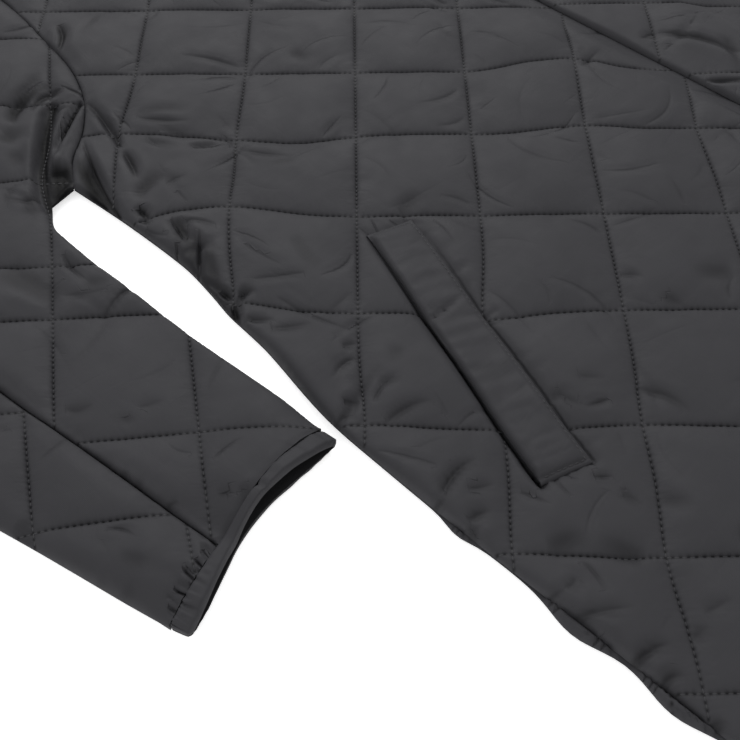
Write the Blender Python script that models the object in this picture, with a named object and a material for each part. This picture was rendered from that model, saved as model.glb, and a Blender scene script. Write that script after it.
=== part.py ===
"""A quilted jacket that lies flat on its back, front up, with its sleeves beside it.

Plan sizes are in the cutter's two directions: "out", from the centre line towards a side, and "up", from the
hem towards the collar. The same tables serve both sides: SIDE_RIGHT is the wearer's right, on the -X side.
The garment is two layers that lie on each other. The lower one is the back, the under sleeves and the back of
the collar, with a flat underside. The upper one is the fronts, the top sleeves and the front of the collar,
each a wall with a plain inner face and the quilting raised in its outer points.
"""

import math
from bisect import bisect_right
from collections import namedtuple

import bmesh
import bpy
import numpy as np
from mathutils import Vector
from mathutils.geometry import delaunay_2d_cdt

SIDE_RIGHT, SIDE_LEFT = -1, 1
MM = 0.001
DIAGONAL = math.sqrt(2)

# Garment, in metres
LENGTH = 0.771  # hem to the collar's top edge
SHOULDER = (0.238, 0.675)  # out, up
NECK_SIDE = (0.088, 0.723)
ARMPIT = (0.2935, 0.4325)
HEM_HALF = 0.304
SLEEVE_SEAM_TOP = (0.4390, 0.584)  # where the sleeve seam runs out over the elbow
FRONT_NECK_UP = 0.633
FRONT_NECK_CLIMB = 3.0 * MM  # the neckline's rise from the centre line to the right front's edge
BACK_NECK_UP = 0.700
COLLAR_HEIGHT = 0.048
COLLAR_TAPER = 0.94  # top edge's length over the neckline's
COLLAR_FOLD_OUT = 0.074  # the side fold joins its two layers from here outwards
COLLAR_FOLD_REACH = 0.006
LAP = 0.018  # left front's edge, past the centre line
UNDERLAP = -0.028  # right front's edge, under the left front
LAP_SLOPE = 0.014  # width of the step where the left front climbs onto the right
LAP_CLEAR = 0.0015  # each side leaves the lap so far past the other's edge
LAP_CREASE = {SIDE_RIGHT: LAP + LAP_CLEAR, SIDE_LEFT: LAP_CLEAR - UNDERLAP}  # out

# Layers, in metres above the surface
SEAM_GAP = 0.3 * MM
LOWER_WALL = 4.0 * MM
UPPER_BASE = LOWER_WALL + SEAM_GAP
STITCHED_WALL = 2.3 * MM  # upper wall at a stitched row
PUFF = 5.4 * MM  # padding's rise between the rows
COLLAR_PUFF = 3.0 * MM
COLLAR_BITE = 1.0 * MM  # its front layer runs so far into the back one at the side folds
STRIP_BITE = 1.0 * MM  # and the under sleeve's strip into its underside
LEAST_WALL = 1.1 * MM
LAP_BASE = UPPER_BASE + STITCHED_WALL + SEAM_GAP

# Quilting
SQUARE = 0.058
QUILT_STEPS = 4  # mesh cells across a square
PUFF_FULLNESS = 0.6  # 1 is a sine arch, less is a fuller pillow

# Mesh
OUTLINE_STEP = 0.014
EDGE_ROWS = (0.003, 0.009)  # distances of the rows that round a panel's rim
EDGE_CLEAR = 0.014  # lattice points start this far from the outline
HELD_CLEAR = 0.004  # and this far from a line that the mesh keeps
FOLD_CLEAR = 0.006  # and this far from a fold's points
FOLD_STEP = 0.012
FOLD_ENDS = 0.15  # a fold's ends keep the height of this part of its arch
RIM_ROUND = 0.012  # a panel reaches its full height so far from its rim

# Sleeve mouth
CUFF_BAND = 0.009
CUFF_INNER = (0.3092, 0.2355)  # corner next to the body, at the lip
CUFF_OUTER = (0.4045, 0.2140)
CUFF_WALL = 4.4 * MM
CUFF_HOLLOW = 4.0 * MM  # the lip curves back between its corners
CUFF_SECTIONS = 44
CUFF_SQUARENESS = 0.6  # below 1, the mouth's loop is flatter than an ellipse
CUFF_ROUNDNESS = 0.45  # how the band's outer face turns from over to under at its sides
CUFF_INNER_REACH = 0.915  # the mouth's width over the band's
CUFF_PROFILE = (  # rows of depth up the sleeve, and 0 at the inner face to 1 at the outer one
    (CUFF_BAND, 1.0),
    (0.45 * CUFF_BAND, 1.12),
    (1.2 * MM, 0.9),
    (0.0, 0.45),
    (1.2 * MM, 0.0),
    (CUFF_BAND, 0.0),
)
MOUTH_RISE = 9.0 * MM
MOUTH_DEPTH = 0.085
MOUTH_SKEW = 0.8  # below 1, the mouth gapes most on its inner side
MOUTH_FADE = 1.4  # how fast the gap closes up the sleeve
MOUTH_FULLNESS = 0.8
STRIP_GAPE = 1.1  # the under sleeve's strip opens this much more than the top sleeve
SLEEVE_FLARE = 0.11  # half-width gained for each metre up the sleeve

# Welt
WELT_LENGTH, WELT_WIDTH, WELT_RISE = 0.152, 0.0235, 4.2 * MM
WELT_CENTRE = (0.2345, 0.2310)
WELT_LEAN = math.radians(19.5)  # from the garment's length, upper end towards the centre
WELT_EDGE = 1.8 * MM  # thickness at its stitched edge
WELT_INNER_ROW = 4.0 * MM
WELT_ROUND = 5.0 * MM
WELT_PRESS = 0.25  # the panel's padding that is left under it
WELT_PRESS_REACH = 0.014

# Outline tables, rows of (out, up)
SIDE_EDGE = (
    (HEM_HALF, 0.0),
    (0.3045, 0.090),
    (0.3058, 0.165),
    (0.3055, 0.215),
    (0.3040, 0.250),
    (0.2970, 0.292),
    (0.2950, 0.318),
    (0.2900, 0.350),
    (0.2905, 0.392),
    ARMPIT,
)
ARMHOLE = (
    ARMPIT,
    (0.284, 0.4465),
    (0.266, 0.462),
    (0.251, 0.481),
    (0.240, 0.508),
    (0.234, 0.542),
    (0.230, 0.575),
    (0.230, 0.625),
    SHOULDER,
)
FRONT_NECK = (
    NECK_SIDE,
    (0.082, 0.688),
    (0.062, 0.654),
    (0.033, 0.637),
    (0.0, FRONT_NECK_UP),
    (UNDERLAP, FRONT_NECK_UP + FRONT_NECK_CLIMB),
)
BACK_NECK = (NECK_SIDE, (0.070, 0.710), (0.040, 0.7025), (0.0, BACK_NECK_UP))
SLEEVE_INNER = (
    (0.3080, 0.4300),
    (0.3155, 0.418),
    (0.3170, 0.392),
    (0.3155, 0.345),
    (0.3135, 0.300),
    (0.3105, 0.262),
)
SLEEVE_OUTER = (
    (0.4120, 0.240),
    (0.4260, 0.297),
    (0.4440, 0.360),
    (0.4620, 0.423),
    (0.4730, 0.475),
    (0.4715, 0.522),
    (0.4600, 0.558),
    SLEEVE_SEAM_TOP,
)
SLEEVE_HEAD = (SLEEVE_SEAM_TOP, (0.4080, 0.608), (0.3600, 0.636), (0.3000, 0.6585), SHOULDER)
SLEEVE_SEAM = (
    (0.3830, 0.305),
    (0.3890, 0.351),
    (0.3950, 0.400),
    (0.4020, 0.450),
    (0.4110, 0.500),
    (0.4240, 0.550),
    SLEEVE_SEAM_TOP,
)
SEAM_AT_CUFF = 0.655  # sleeve seam's place along the cuff, from the inner corner

# Largest folds. A trough's rise is below 0.
Fold = namedtuple("Fold", "out up end_out end_up half_width rise")
SLEEVE_FOLDS = (
    Fold(0.268, 0.486, 0.303, 0.442, 5.0 * MM, -6.5 * MM),
    Fold(0.256, 0.481, 0.296, 0.446, 4.0 * MM, -4.5 * MM),
    Fold(0.263, 0.483, 0.299, 0.448, 4.5 * MM, 5.0 * MM),
    Fold(0.282, 0.497, 0.320, 0.440, 9.0 * MM, 6.0 * MM),
    Fold(0.245, 0.519, 0.284, 0.501, 6.0 * MM, -3.5 * MM),
    Fold(0.241, 0.505, 0.272, 0.495, 6.0 * MM, 3.5 * MM),
    Fold(0.350, 0.408, 0.322, 0.366, 7.0 * MM, -2.5 * MM),
    Fold(0.250, 0.535, 0.310, 0.545, 8.0 * MM, -3.0 * MM),
)
FRONT_FOLDS = (
    Fold(0.270, 0.456, 0.284, 0.424, 5.0 * MM, -3.5 * MM),
    Fold(0.259, 0.462, 0.272, 0.428, 5.0 * MM, 3.0 * MM),
    Fold(0.290, 0.383, 0.262, 0.368, 5.0 * MM, -3.0 * MM),
    Fold(0.290, 0.352, 0.266, 0.352, 5.0 * MM, -3.0 * MM),
    Fold(0.245, 0.500, 0.215, 0.478, 7.0 * MM, -2.5 * MM),
)


class Quilt:
    """Two families of stitched rows that cross, and the padding's puff between them.

    A row runs from up-and-out to down-and-in, a column from down-and-out to up-and-in. Each family is a
    rising list of places along the other diagonal, and may be tilted from it.
    """

    def __init__(self, rows, columns, row_tilt=0.0, column_tilt=0.0):
        self.rows, self.columns = rows, columns
        self.row_tilt, self.column_tilt = row_tilt, column_tilt

    def coordinates(self, out, up):
        """Place across the rows and across the columns."""
        rising, falling = (up - out) / DIAGONAL, (up + out) / DIAGONAL
        return rising - self.row_tilt * falling, falling - self.column_tilt * rising

    def point(self, row, column):
        """(out, up) of a place across the rows and the columns."""
        skew = 1 - self.row_tilt * self.column_tilt
        rising = (row + self.row_tilt * column) / skew
        falling = (column + self.column_tilt * row) / skew
        return (falling - rising) / DIAGONAL, (falling + rising) / DIAGONAL

    def puff(self, out, up):
        """0 on a stitched row, 1 at a square's middle."""
        full = 1.0
        for place, lines in zip(self.coordinates(out, up), (self.rows, self.columns)):
            index = min(max(bisect_right(lines, place), 1), len(lines) - 1)
            below, above = lines[index - 1], lines[index]
            part = min(max((place - below) / (above - below), 0.0), 1.0)
            full *= math.sin(math.pi * part) ** PUFF_FULLNESS
        return full

    def lattice(self):
        """The squares' corners, edges and middles, as (out, up)."""
        return [
            self.point(row, column)
            for row in subdivided(self.rows)
            for column in subdivided(self.columns)
        ]


def subdivided(lines):
    """Each interval of a rising list cut into QUILT_STEPS."""
    places = [
        below + (above - below) * step / QUILT_STEPS
        for below, above in zip(lines, lines[1:])
        for step in range(QUILT_STEPS)
    ]
    return places + [lines[-1]]


def evenly(first, count, drift=None):
    """Rows one square apart from a first place, where drift gives some of them a small error of the hand."""
    drift = drift or {}
    return [first + SQUARE * index + drift.get(index, 0.0) for index in range(count)]


FRONT_QUILTS = {
    SIDE_RIGHT: Quilt(
        evenly(-0.2809, 16, {1: 8 * MM, 2: 5.7 * MM, 5: 5 * MM, 6: 7 * MM, 7: 7 * MM}),
        evenly(-0.0291, 14),
    ),
    SIDE_LEFT: Quilt(evenly(-0.3077, 17), evenly(-0.0496, 14, {4: -6 * MM})),
}
# The sleeve's rows close up under the arm, where the cloth is pushed together.
TOP_SLEEVE_QUILT = Quilt(
    [-0.142, -0.084, -0.028, 0.038, 0.070, 0.128, 0.186, 0.244, 0.302, 0.360],
    evenly(0.3910, 8),
    row_tilt=-0.05,
    column_tilt=0.17,
)
UNDER_SLEEVE_QUILT = Quilt(evenly(-0.144, 9), evenly(0.406, 8), row_tilt=-0.13, column_tilt=0.24)


def smooth(table, step=OUTLINE_STEP):
    """A Catmull-Rom curve through a table's rows, as points about a step apart."""
    knots = [Vector(row) for row in table]
    ends = [2 * knots[0] - knots[1], *knots, 2 * knots[-1] - knots[-2]]
    points = []
    for before, start, end, after in zip(ends, ends[1:], ends[2:], ends[3:]):
        count = max(1, round((end - start).length / step))
        for index in range(count):
            t = index / count
            points.append(
                0.5
                * (
                    2 * start
                    + (end - before) * t
                    + (2 * before - 5 * start + 4 * end - after) * t**2
                    + (3 * start - before - 3 * end + after) * t**3
                )
            )
    return points + [knots[-1]]


def loop(*stretches):
    """One closed outline from stretches that follow each other, with the shared ends taken once."""
    points = []
    for stretch in stretches:
        for point in stretch:
            if not points or (Vector(point) - points[-1]).length > MM:
                points.append(Vector(point))
    if (points[0] - points[-1]).length < MM:
        points.pop()
    area = sum(a.cross(b) for a, b in zip(points, points[1:] + points[:1]))
    return points if area > 0 else points[::-1]


def inset(points, distance):
    """An outline moved inwards along the mean of its two edges' normals."""
    moved = []
    for before, point, after in zip(points[-1:] + points[:-1], points, points[1:] + points[:1]):
        normals = [Vector((-edge.y, edge.x)).normalized() for edge in (point - before, after - point)]
        mean = (normals[0] + normals[1]).normalized()
        moved.append(point + mean * distance / max(mean.dot(normals[0]), 0.4))
    return moved


def distances(points, outline):
    """Each point's distance to a closed outline."""
    spots, starts = np.array(points), np.array(outline)
    edges = np.roll(starts, -1, axis=0) - starts
    offsets = spots[:, None, :] - starts[None, :, :]
    along = (offsets * edges).sum(axis=2) / (edges**2).sum(axis=1)
    nearest = offsets - np.clip(along, 0, 1)[:, :, None] * edges
    return np.sqrt((nearest**2).sum(axis=2)).min(axis=1)


def inside(points, outline):
    """Whether each point lies in a closed outline."""
    spots, starts = np.array(points), np.array(outline)
    ends = np.roll(starts, -1, axis=0)
    x, y = spots[:, None, 0], spots[:, None, 1]
    crosses = (starts[:, 1] > y) != (ends[:, 1] > y)
    rise = np.where(ends[:, 1] == starts[:, 1], 1.0, ends[:, 1] - starts[:, 1])
    at = starts[:, 0] + (y - starts[:, 1]) * (ends[:, 0] - starts[:, 0]) / rise
    return (crosses & (x < at)).sum(axis=1) % 2 == 1


def fold_run(fold):
    """A fold's start, and the way from it to its end."""
    start = Vector((fold.out, fold.up))
    return start, Vector((fold.end_out, fold.end_up)) - start


def fold_points(folds):
    """Points along each fold's bottom and both its shoulders."""
    points = []
    for fold in folds:
        start, run = fold_run(fold)
        across = Vector((-run.y, run.x)).normalized() * fold.half_width
        count = max(2, round(run.length / FOLD_STEP))
        for index in range(count + 1):
            points += [start + run * index / count + across * side for side in (-1, 0, 1)]
    return points


def fold_rise(folds, out, up):
    """What the folds add to the height at a point."""
    rise, spot = 0.0, Vector((out, up))
    for fold in folds:
        start, run = fold_run(fold)
        along = min(max((spot - start).dot(run) / run.length_squared, 0.0), 1.0)
        away = (spot - start - run * along).length / fold.half_width
        arch = math.sin(math.pi * (FOLD_ENDS + (1 - 2 * FOLD_ENDS) * along))
        rise += fold.rise * math.exp(-(away**2)) * arch
    return rise


def ease(value):
    """0 to 1 with level ends."""
    value = min(max(value, 0.0), 1.0)
    return value * value * (3 - 2 * value)


class Sheet:
    """A panel's plan: its points, the triangles between them, and each point's distance to the rim."""

    def __init__(self, points, triangles, rim):
        self.points, self.triangles = points, triangles
        self.to_rim = distances(points, rim)

    def patch(self, outline):
        """The part of this sheet inside an outline that its triangles keep, with the outline as its rim."""
        middles = [
            tuple(np.mean([self.points[index] for index in triangle], axis=0))
            for triangle in self.triangles
        ]
        chosen = [triangle for triangle, lies in zip(self.triangles, inside(middles, outline)) if lies]
        used = sorted({index for triangle in chosen for index in triangle})
        order = {index: place_in_patch for place_in_patch, index in enumerate(used)}
        triangles = [[order[index] for index in triangle] for triangle in chosen]
        return Sheet([self.points[index] for index in used], triangles, outline)


def plan(outline, lattice=(), folds=(), holds=(), creases=()):
    """A sheet that fills an outline, half a seam's gap inside it.

    Its triangles keep the edges of holds, which are closed outlines, and of creases, which are lines.
    """
    rim = inset(outline, SEAM_GAP / 2)
    edges = [(index, (index + 1) % len(rim)) for index in range(len(rim))]
    points = list(rim)
    for held, closed in [(hold, 1) for hold in holds] + [(crease, 0) for crease in creases]:
        first, count = len(points), len(held)
        points += held
        edges += [(first + index, first + (index + 1) % count) for index in range(count - 1 + closed)]
    lines = [*holds, *creases]
    for row in EDGE_ROWS:
        points += kept(inset(rim, row), rim, 0.93 * row, lines)
    folded = kept(fold_points(folds), rim, EDGE_ROWS[-1] / 2, lines)
    rest = kept(lattice, rim, EDGE_CLEAR, lines)
    if folded:
        spots = np.array([tuple(spot) for spot in folded])
        rest = [spot for spot in rest if np.hypot(*(spots - np.array(tuple(spot))).T).min() > FOLD_CLEAR]
    found = delaunay_2d_cdt([*points, *folded, *rest], edges, [], 1, 1e-6)
    return Sheet([tuple(point) for point in found[0]], found[2], [tuple(point) for point in rim])


def kept(points, rim, least, lines):
    """The points that lie inside the rim, and at least so far from it and clear of the held lines."""
    if not len(points):
        return []
    spots = [tuple(point) for point in points]
    fine = inside(spots, rim) & (distances(spots, rim) >= least)
    for line in lines:
        fine &= distances(spots, line) >= HELD_CLEAR
    return [Vector(spot) for spot, keep in zip(spots, fine) if keep]


def rounded(distance, reach=RIM_ROUND):
    """How far a rim has risen to its panel's full height, as a quarter of an ellipse."""
    left = 1 - min(distance / reach, 1.0)
    return math.sqrt(max(1 - left * left, 0.0))


def place(out, up, height, side):
    """A point of the garment in the part's frame."""
    return Vector((side * out, up - LENGTH / 2, height))


def wall(name, sheet, top, base, side, flat_base=True):
    """Closes a sheet into a wall between a base and a top, both heights at (out, up, distance to the rim)."""
    mesh = bmesh.new()
    lower = [
        mesh.verts.new(place(out, up, base(out, up, rim), side))
        for (out, up), rim in zip(sheet.points, sheet.to_rim)
    ]
    plans = {vert: (*point, rim) for vert, point, rim in zip(lower, sheet.points, sheet.to_rim)}
    faces = [mesh.faces.new([lower[index] for index in triangle]) for triangle in sheet.triangles]
    used = [vert for vert in lower if vert.link_faces]
    plan_of = {tuple(round(value, 7) for value in vert.co[:2]): plans[vert] for vert in used}
    grown = bmesh.ops.extrude_face_region(mesh, geom=faces)["geom"]
    risen = {item for item in grown if isinstance(item, bmesh.types.BMVert)}
    for vert in risen:
        out, up, rim = plan_of[tuple(round(value, 7) for value in vert.co[:2])]
        vert.co.z = max(top(out, up, rim), vert.co.z + LEAST_WALL)
    bmesh.ops.delete(mesh, geom=[v for v in mesh.verts if not v.link_faces], context="VERTS")
    if flat_base:
        low = [v for v in mesh.verts if v not in risen]
        edges = [e for e in mesh.edges if e.verts[0] not in risen and e.verts[1] not in risen]
        bmesh.ops.dissolve_limit(mesh, angle_limit=math.radians(0.05), verts=low, edges=edges)
    bmesh.ops.recalc_face_normals(mesh, faces=mesh.faces)
    return finished(name, mesh)


def finished(name, mesh):
    """An object of a mesh, in the garment's collection, with its material."""
    data = bpy.data.meshes.new(name)
    mesh.to_mesh(data)
    mesh.free()
    data.shade_smooth()
    data.set_sharp_from_angle(angle=math.radians(50))
    made = bpy.data.objects.new(name, data)
    garment.objects.link(made)
    data.materials.append(cloth(name))
    return made


def cloth(name):
    """A nylon of the node's own, with the shell's colour."""
    material = bpy.data.materials.new(name)
    material.use_nodes = True
    shader = material.node_tree.nodes["Principled BSDF"]
    shader.inputs["Base Color"].default_value = (0.060, 0.060, 0.063, 1)
    shader.inputs["Roughness"].default_value = 0.55
    shader.inputs["Metallic"].default_value = 0.0
    return material


def joined(piece, other):
    """A Boolean union of two objects, kept in the first."""
    union = piece.modifiers.new("join", "BOOLEAN")
    union.operation, union.object = "UNION", other
    graph = bpy.context.evaluated_depsgraph_get()
    merged = bpy.data.meshes.new_from_object(piece.evaluated_get(graph))
    piece.modifiers.clear()
    piece.data = merged
    bpy.data.objects.remove(other)
    return piece


# Outlines


def mirrored(stretch):
    """A stretch on the other side of the centre line, in the opposite order."""
    return [Vector((-point[0], point[1])) for point in reversed(stretch)]


def on_cuff(part, depth):
    """A point at a part of the way from the cuff's inner corner, and so far up the sleeve from the lip."""
    inner, outer = Vector(CUFF_INNER), Vector(CUFF_OUTER)
    across = (outer - inner).normalized()
    up_sleeve = Vector((-across.y, across.x))
    width = (outer - inner).length + 2 * SLEEVE_FLARE * depth
    middle = (inner + outer) / 2 + up_sleeve * (depth + lip_hollow(part))
    return middle + across * width * (part - 0.5)


def lip_hollow(part):
    """How far the lip curves back at a part of the cuff."""
    return CUFF_HOLLOW * math.sin(math.pi * min(max(part, 0.0), 1.0) ** MOUTH_SKEW)


def cuff_place(out, up):
    """The reverse of on_cuff: (part, depth) of a point."""
    inner, outer = Vector(CUFF_INNER), Vector(CUFF_OUTER)
    across = (outer - inner).normalized()
    offset = Vector((out, up)) - (inner + outer) / 2
    depth = offset.dot(Vector((-across.y, across.x)))
    width = (outer - inner).length + 2 * SLEEVE_FLARE * depth
    part = offset.dot(across) / width + 0.5
    return part, depth - lip_hollow(part)


def mouth_rise(out, up):
    """How far the sleeve's upper wall stands off its lower one, near the cuff."""
    part, depth = cuff_place(out, up)
    if depth > MOUTH_DEPTH:
        return 0.0
    fade = min(max(1 - depth / MOUTH_DEPTH, 0.0), 1.0) ** MOUTH_FADE
    skewed = min(max(part, 0.0), 1.0) ** MOUTH_SKEW
    return MOUTH_RISE * fade * max(math.sin(math.pi * skewed), 0.0) ** MOUTH_FULLNESS


def cuff_line(first, last, count):
    """Points along the cuff's seam, from one part of it to another."""
    depth = CUFF_BAND + SEAM_GAP / 2
    return [on_cuff(first + (last - first) * index / count, depth) for index in range(count + 1)]


def front_neck(edge):
    """The front neckline, from the shoulder to a front's edge at out = edge."""
    curve = [point for point in smooth(FRONT_NECK) if point.x > edge + 2 * MM]
    return [*curve, Vector((edge, FRONT_NECK_UP + FRONT_NECK_CLIMB * (edge / UNDERLAP) ** 2))]


def raised(neck):
    """A neckline moved up to the collar's top edge, a little shorter."""
    return [Vector((point.x * COLLAR_TAPER, point.y + COLLAR_HEIGHT)) for point in neck]


def front_outline(edge):
    """A front's outline, whose edge at the centre lies at out = edge."""
    neck = front_neck(edge)
    return loop(
        smooth(((edge, 0.0), (HEM_HALF, 0.0)), 2 * OUTLINE_STEP),
        smooth(SIDE_EDGE),
        smooth(ARMHOLE),
        smooth((SHOULDER, NECK_SIDE)),
        neck,
        smooth((neck[-1], (edge, 0.0)), 2 * OUTLINE_STEP),
    )


def back_outline():
    """The back's outline, on both sides of the centre line."""
    half = [
        *smooth(((0.0, 0.0), (HEM_HALF, 0.0)), 3 * OUTLINE_STEP),
        *smooth(SIDE_EDGE),
        *smooth(ARMHOLE),
        *smooth((SHOULDER, NECK_SIDE)),
        *smooth(BACK_NECK),
    ]
    return loop(half, mirrored(half))


def sleeve_outlines():
    """The outlines of the top sleeve, of the under sleeve's strip on top, and of its underside."""
    armhole = smooth(ARMHOLE)
    inner = smooth((*SLEEVE_INNER, cuff_line(0, 1, 1)[0]))
    seam = smooth((cuff_line(0, SEAM_AT_CUFF, 1)[1], *SLEEVE_SEAM))
    outer = smooth((cuff_line(0, 1, 1)[1], *SLEEVE_OUTER))
    head = smooth(SLEEVE_HEAD)
    steps = 6
    top = loop(armhole[::-1], inner, cuff_line(0, SEAM_AT_CUFF, steps), seam, head)
    strip = loop(cuff_line(SEAM_AT_CUFF, 1, steps // 2), outer, seam[::-1])
    under = loop(armhole[::-1], inner, cuff_line(0, 1, 2 * steps), outer, head)
    return top, strip, under


def welt_outline():
    """The welt's rectangle."""
    along = Vector((-math.sin(WELT_LEAN), math.cos(WELT_LEAN))) * WELT_LENGTH / 2
    across = Vector((math.cos(WELT_LEAN), math.sin(WELT_LEAN))) * WELT_WIDTH / 2
    centre = Vector(WELT_CENTRE)
    corners = [centre + along * a + across * b for a, b in ((-1, -1), (-1, 1), (1, 1), (1, -1))]
    steps = (WELT_WIDTH / 3, OUTLINE_STEP, WELT_WIDTH / 3, OUTLINE_STEP)
    ends = zip(corners, corners[1:] + corners[:1], steps)
    return loop(*(smooth((start, end), step) for start, end, step in ends))


# Pieces


def surface(out, up, rim):
    """Where the garment rests."""
    return 0.0


def lower_top(out, up, rim):
    """The lower layer's upper face."""
    return LOWER_WALL


def upper_base(out, up, rim):
    """The upper layer's inner face."""
    return UPPER_BASE


def lap_base(out, up, rim):
    """The left front's inner face, which climbs onto the right front's edge."""
    over = ease((LAP_CREASE[SIDE_LEFT] + LAP_SLOPE - out) / LAP_SLOPE)
    return UPPER_BASE + (LAP_BASE - UPPER_BASE) * over


def outside_lap(out):
    """0 where the left side lies on the right one, 1 clear of it."""
    return ease((out - LAP_CREASE[SIDE_RIGHT]) / LAP_SLOPE)


def lap_crease(side, low, high):
    """The line along which a side leaves the lap, between two heights up the garment."""
    out = LAP_CREASE[side]
    return smooth(((out, low - MM), (out, high + MM)), OUTLINE_STEP)


def make_fronts():
    """Both fronts and both welts."""
    welt = welt_outline()
    welt_points = [tuple(point) for point in welt]
    for side, suffix, edge in ((SIDE_RIGHT, "right", UNDERLAP), (SIDE_LEFT, "left", -LAP)):
        quilt = FRONT_QUILTS[side]
        crease = lap_crease(side, 0.0, FRONT_NECK_UP)
        held = (welt, inset(welt, WELT_INNER_ROW))
        sheet = plan(front_outline(edge), quilt.lattice(), FRONT_FOLDS, held, (crease,))
        base = lap_base if side == SIDE_LEFT else upper_base

        def top(out, up, rim, side=side, quilt=quilt, base=base):
            under_lap = outside_lap(out) if side == SIDE_RIGHT else 1.0
            spot = [(out, up)]
            clear = rounded(distances(spot, welt_points)[0], WELT_PRESS_REACH)
            left = 0.0 if inside(spot, welt_points)[0] else clear
            pressed = WELT_PRESS + (1 - WELT_PRESS) * left
            padding = PUFF * quilt.puff(out, up) * pressed * under_lap
            raised_by = (padding + fold_rise(FRONT_FOLDS, out, up)) * rounded(rim)
            return base(out, up, rim) + STITCHED_WALL + raised_by

        wall(f"front_{suffix}", sheet, top, base, side, flat_base=side == SIDE_RIGHT)
        make_welt(f"welt_{suffix}", sheet, top, side, welt_points)


def make_welt(name, sheet, panel_top, side, outline):
    """A padded strip on the front, of the front's own points inside the welt's outline, moved out."""
    panel_rims = dict(zip(sheet.points, sheet.to_rim))

    def base(out, up, rim):
        return panel_top(out, up, panel_rims[(out, up)]) + SEAM_GAP

    def top(out, up, rim):
        return base(out, up, rim) + WELT_EDGE + WELT_RISE * rounded(rim, WELT_ROUND)

    wall(name, sheet.patch(outline), top, base, side, flat_base=False)


def make_back():
    """The back: a plain slab, flat where it rests."""
    wall("back", plan(back_outline()), lower_top, surface, SIDE_LEFT)


def make_collar():
    """The stand collar: a strip that lies under at the back, folds at the sides and laps at the front."""
    neck = smooth(BACK_NECK)
    back = loop(neck, mirrored(neck), mirrored(raised(neck))[::-1], raised(neck)[::-1])
    collar = wall("collar", plan(back), lower_top, surface, SIDE_LEFT)
    for side, edge in ((SIDE_RIGHT, UNDERLAP), (SIDE_LEFT, -LAP)):
        panel_base = lap_base if side == SIDE_LEFT else upper_base

        def base(out, up, rim, panel_base=panel_base):
            side_fold = ease((up - NECK_SIDE[1]) / COLLAR_FOLD_REACH - 1)
            side_fold *= ease((out - COLLAR_FOLD_OUT) / COLLAR_FOLD_REACH)
            return panel_base(out, up, rim) - (SEAM_GAP + COLLAR_BITE) * side_fold

        def top(out, up, rim, side=side, panel_base=panel_base):
            padding = COLLAR_PUFF * rounded(rim) * (outside_lap(out) if side == SIDE_RIGHT else 1.0)
            return panel_base(out, up, rim) + STITCHED_WALL + padding

        neck = front_neck(edge)
        crease = lap_crease(side, FRONT_NECK_UP, FRONT_NECK_UP + COLLAR_HEIGHT)
        outline = loop(neck, raised(neck)[::-1])
        sheet = plan(outline, FRONT_QUILTS[side].lattice(), creases=(crease,))
        joined(collar, wall("collar_front", sheet, top, base, side, flat_base=False))


def make_sleeves():
    """Top sleeves, under sleeves and cuff bands, on both sides."""
    top_outline, strip_outline, under_outline = sleeve_outlines()
    top_sheet = plan(top_outline, TOP_SLEEVE_QUILT.lattice(), SLEEVE_FOLDS)
    strip_sheet = plan(strip_outline, UNDER_SLEEVE_QUILT.lattice())
    under_sheet = plan(under_outline)

    def base(out, up, rim):
        return UPPER_BASE + mouth_rise(out, up)

    def top(out, up, rim):
        padding = PUFF * TOP_SLEEVE_QUILT.puff(out, up)
        raised_by = (padding + fold_rise(SLEEVE_FOLDS, out, up)) * rounded(rim)
        return base(out, up, rim) + STITCHED_WALL + raised_by

    def strip_base(out, up, rim):
        return LOWER_WALL - STRIP_BITE + mouth_rise(out, up) * STRIP_GAPE

    def strip_top(out, up, rim):
        padding = PUFF * UNDER_SLEEVE_QUILT.puff(out, up) * rounded(rim)
        return base(out, up, rim) + STITCHED_WALL + padding

    for side, suffix in ((SIDE_RIGHT, "right"), (SIDE_LEFT, "left")):
        wall(f"sleeve_top_{suffix}", top_sheet, top, base, side, flat_base=False)
        under = wall(f"sleeve_under_{suffix}", under_sheet, lower_top, surface, side)
        strip = wall("sleeve_strip", strip_sheet, strip_top, strip_base, side, flat_base=False)
        joined(under, strip)
        make_cuff(f"cuff_{suffix}", side)


def make_cuff(name, side):
    """The rolled band round a sleeve's mouth: a loft of sections that follow the mouth's loop."""
    mesh = bmesh.new()
    rings = []
    for index in range(CUFF_SECTIONS):
        turn = 2 * math.pi * (index + 0.5) / CUFF_SECTIONS
        ring = [mesh.verts.new(cuff_point(turn, *spot, side)) for spot in CUFF_PROFILE]
        rings.append(ring)
    for ring, after in zip(rings, rings[1:] + rings[:1]):
        for index in range(len(ring)):
            following = (index + 1) % len(ring)
            mesh.faces.new((ring[index], after[index], after[following], ring[following]))
    bmesh.ops.recalc_face_normals(mesh, faces=mesh.faces)
    return finished(name, mesh)


def cuff_point(turn, depth, outward, side):
    """A point of the band, from its place round the mouth, up the sleeve, and between its two faces."""
    cosine, sine = math.cos(turn), math.sin(turn)
    spread = math.copysign(abs(cosine) ** CUFF_SQUARENESS, cosine) / 2
    reach = CUFF_INNER_REACH + (1 - CUFF_INNER_REACH) * min(outward, 1.0)
    here = on_cuff(0.5 + spread * reach, depth)
    rise = mouth_rise(*on_cuff(0.5 + spread * CUFF_INNER_REACH, CUFF_BAND / 2))
    middle = (UPPER_BASE + LOWER_WALL) / 2
    full = abs(sine) ** CUFF_ROUNDNESS
    if sine > 0:
        inner_face = UPPER_BASE + rise
        outer_face = middle + (inner_face + CUFF_WALL - middle) * full
    else:
        inner_face = LOWER_WALL
        outer_face = middle * (1 - full)
    height = inner_face + (outer_face - inner_face) * outward
    return place(here.x, here.y, max(height, 0.0), side)


# Build

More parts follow.
